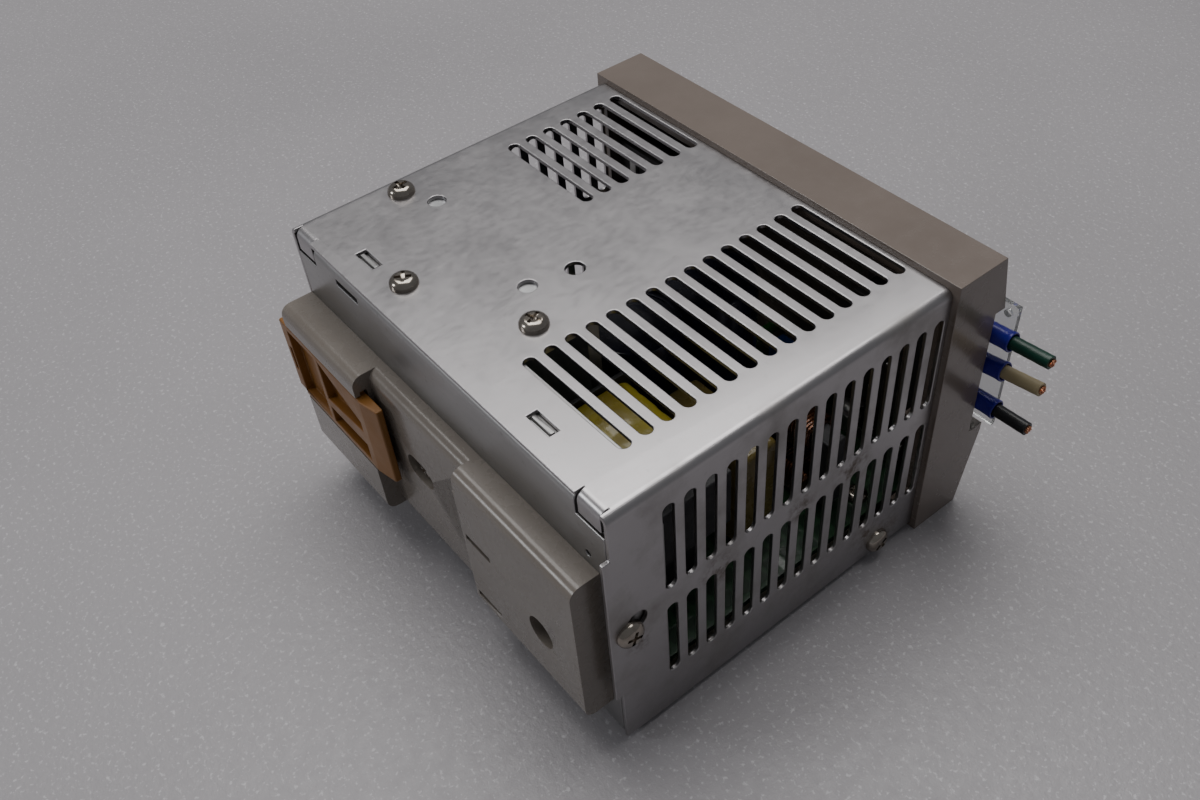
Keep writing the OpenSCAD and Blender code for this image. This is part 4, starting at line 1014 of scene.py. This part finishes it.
# fuse: a glass tube between two plated caps, and the wire in it hangs as a parabola
def makeFuse():
    low, high = boxOf(solidsOf("fuse")[0])
    length, r = (high[0] - low[0]) / mm, (high[2] - low[2]) / 2 / mm
    at = np.array([low[0], (low[1] + high[1]) / 2, (low[2] + high[2]) / 2])
    out, bore, end = r - fuseSet["glass"], r - fuseSet["bore"], fuseSet["cap"]
    tube = [(out, 1), (out, length / 2), (out, length - 1), (bore, length - 1), (bore, 1)]
    makePiece("fuseTube", [turned(tube, at, (1, 0, 0), 32, looped=True)], "fuse_glass", stands=["fuse"])
    cap = [(0.9, 0.02), (r - 0.3, 0.06), (r - 0.05, 0.3), (r, 0.8), (r, end - 0.3), (r - 0.06, end),
           (out, end)]
    caps = [turned(cap, at, (1, 0, 0), 32), turned(cap, at + np.array([length * mm, 0, 0]), (-1, 0, 0), 32)]
    run = np.linspace(0.1, 0.9, 15)
    sag = np.stack([run * length, 0 * run, fuseSet["sag"] * ((2 * run - 1) ** 2 - 1)], -1)
    makePiece("fuseCaps", caps + [rod(at + sag * mm, fuseSet["wire"], 6)], "tinned")


makeFuse()


lampSet = {"radius": 1.5, "flange": 2.0, "lead": 0.25, "apart": 0.7}


# lamp: a dome, r sin(k) out and r - r cos(k) back, then a straight body, a flange and two bent leads
def makeLamp():
    low, high = boxOf(np.vstack(solidsOf("indicator_lamp")))
    x = (low[0] + high[0]) / 2
    z = high[2] - lampSet["flange"] * mm
    r, flange = lampSet["radius"], lampSet["flange"]
    a = np.linspace(0.05, np.pi / 2, 8)
    dome = [(r * np.sin(k), r - r * np.cos(k)) for k in a]
    length = (high[1] - low[1]) / mm
    body = dome + [(r, length - 8), (r, length - 4.2)]
    body += [(flange, length - 4.1), (flange, length - 2.8), (flange - 0.3, length - 2.6)]
    parts = [turned(body, np.array([x, low[1], z]), (0, 1, 0), 32)]
    for side in (-1, 1):
        start = np.array([x + side * lampSet["apart"] * mm, high[1] - 3 * mm, z])
        foot = np.array([start[0], start[1] + 1.9 * mm, spot(0, 0, boardTop + 0.05)[2]])
        path = [start, start + [0, 1.3 * mm, 0], start + [0, 1.9 * mm, -0.7 * mm], foot]
        parts.append(rod(path, lampSet["lead"], 8, upright=(1, 0, 0)))
    makePiece("lampLens", parts, "lamp_green", stands=["indicator_lamp"])


makeLamp()


rotorSet = {"cap": 1.2, "slotReach": 0.75, "slotDeep": 0.6}


# rotor of the adjuster: a domed cap with a cross in it, on a round stem
def makeRotor():
    low, high = boxOf(solidsOf("trimmer_rotor")[0])
    cap = rotorSet["cap"]
    at = np.array([(low[0] + high[0]) / 2, low[1] + cap * mm, (low[2] + high[2]) / 2])
    r = (high[0] - low[0]) / 2 / mm
    stem = [(r * 0.9, 0.05), (r, 0.3), (r, (high[1] - low[1]) / mm - cap - 0.1)]
    top = crossHead(at, (0, -1, 0), r, cap, 0, rotorSet["slotReach"], rotorSet["slotDeep"])
    makePiece("trimmerRotor", [top, turned(stem, at, (0, 1, 0), 32)], "trimmer_white", body="adjuster",
              stands=["trimmer_rotor"])


makeRotor()

# small parts and solder on the board

resistorSet = {
    # radius and way along, to the middle
    "outline": [(0.5, -3.1), (1.0, -3.0), (1.15, -2.4), (1.12, -1.9), (0.92, -1.5), (0.92, 0)],
    "bands": [(-2.1, 0.5), (-1.0, 0.45), (0.0, 0.45), (1.0, 0.45)],  # way along, width
    "lead": 0.28,
    "foot": 4.5,  # from the middle to where the lead goes down
}
chipSet = {"legs": 3, "leg": 0.15, "edge": 0.25}
# mm from the wire side and from the back plane, and how far a resistor is turned; a chip's width and depth
resistors = [(72, 7.5, 0), (72, 10.5, 0), (85, 7.5, 0), (85, 10.5, 0), (46, 8, 0), (57, 9, 0), (68, 76, 90),
             (72.5, 76, 90), (77, 76, 90), (69, 90, 0), (97, 45, 90), (99.5, 60, 90), (70, 42, 90),
             (75, 42, 90)]
chips = [(50, 11.5, 5, 4), (63, 12, 4, 5), (80, 88, 6, 5), (98, 71, 4, 5), (96.5, 12, 6, 5), (70, 53, 6, 7)]


# resistors with four bands each and chips, with bent leads and a cone of solder at each resistor's foot
def makeSmallParts():
    barrels, bands, leads, bodies, solder = [], [], [], [], []
    for n, b, turn in resistors:
        axis = np.array([math.cos(math.radians(turn)), math.sin(math.radians(turn)), 0])
        middle = spot(n, b, boardTop + 1.25)
        shape = resistorSet["outline"]
        barrels.append(turned(shape + [(r, -h) for r, h in shape[-2::-1]], middle, axis, 20))
        for place, wide in resistorSet["bands"]:
            r = 1.16 if abs(place) > 1.5 else 0.94  # the ends of the barrel are thicker
            start, stop = place - wide / 2, place + wide / 2
            ring = [(r - 0.1, start), (r, start), (r, stop), (r - 0.1, stop)]
            bands.append(turned(ring, middle, axis, 20, looped=True))
        for side in (-1, 1):
            out = side * axis
            foot = middle + out * resistorSet["foot"] * mm
            path = [middle + out * 2.9 * mm, foot - out * 0.5 * mm, foot - [0, 0, 0.5 * mm],
                    foot - [0, 0, 1.23 * mm]]
            leads.append(rod(path, resistorSet["lead"], 8, upright=np.cross(axis, [0, 0, 1])))
            cone = [(0.9, 0.0), (0.55, 0.12), (0.3, 0.5)]
            solder.append(turned(cone, foot - [0, 0, 1.25 * mm], sides=14))
    for n, b, wide, deep in chips:
        low, high = spot(n, b, boardTop + 0.25), spot(n + wide, b - deep, boardTop + 1.7)
        bodies.append(roundedBox(low, high, chipSet["edge"]))
        for k in range(chipSet["legs"]):
            for edge, out in ((b, 1), (b - deep, -1)):
                foot = spot(n + wide * (k + 0.5) / chipSet["legs"], edge, boardTop)
                bends = np.array([(0, 0.9), (0.5, 0.85), (0.8, 0.15), (1.4, 0.15)]) * mm  # outwards, up
                path = foot + np.stack([0 * bends[:, 0], -out * bends[:, 0], bends[:, 1]], -1)
                leads.append(rod(path, chipSet["leg"], 6, upright=(1, 0, 0)))
    makePiece("resistorBodies", barrels, "liner")
    makePiece("resistorBands", bands, "varnish_brown")
    makePiece("partLeads", leads + solder, "tinned")
    makePiece("chipBodies", bodies, "component_black")


makeSmallParts()
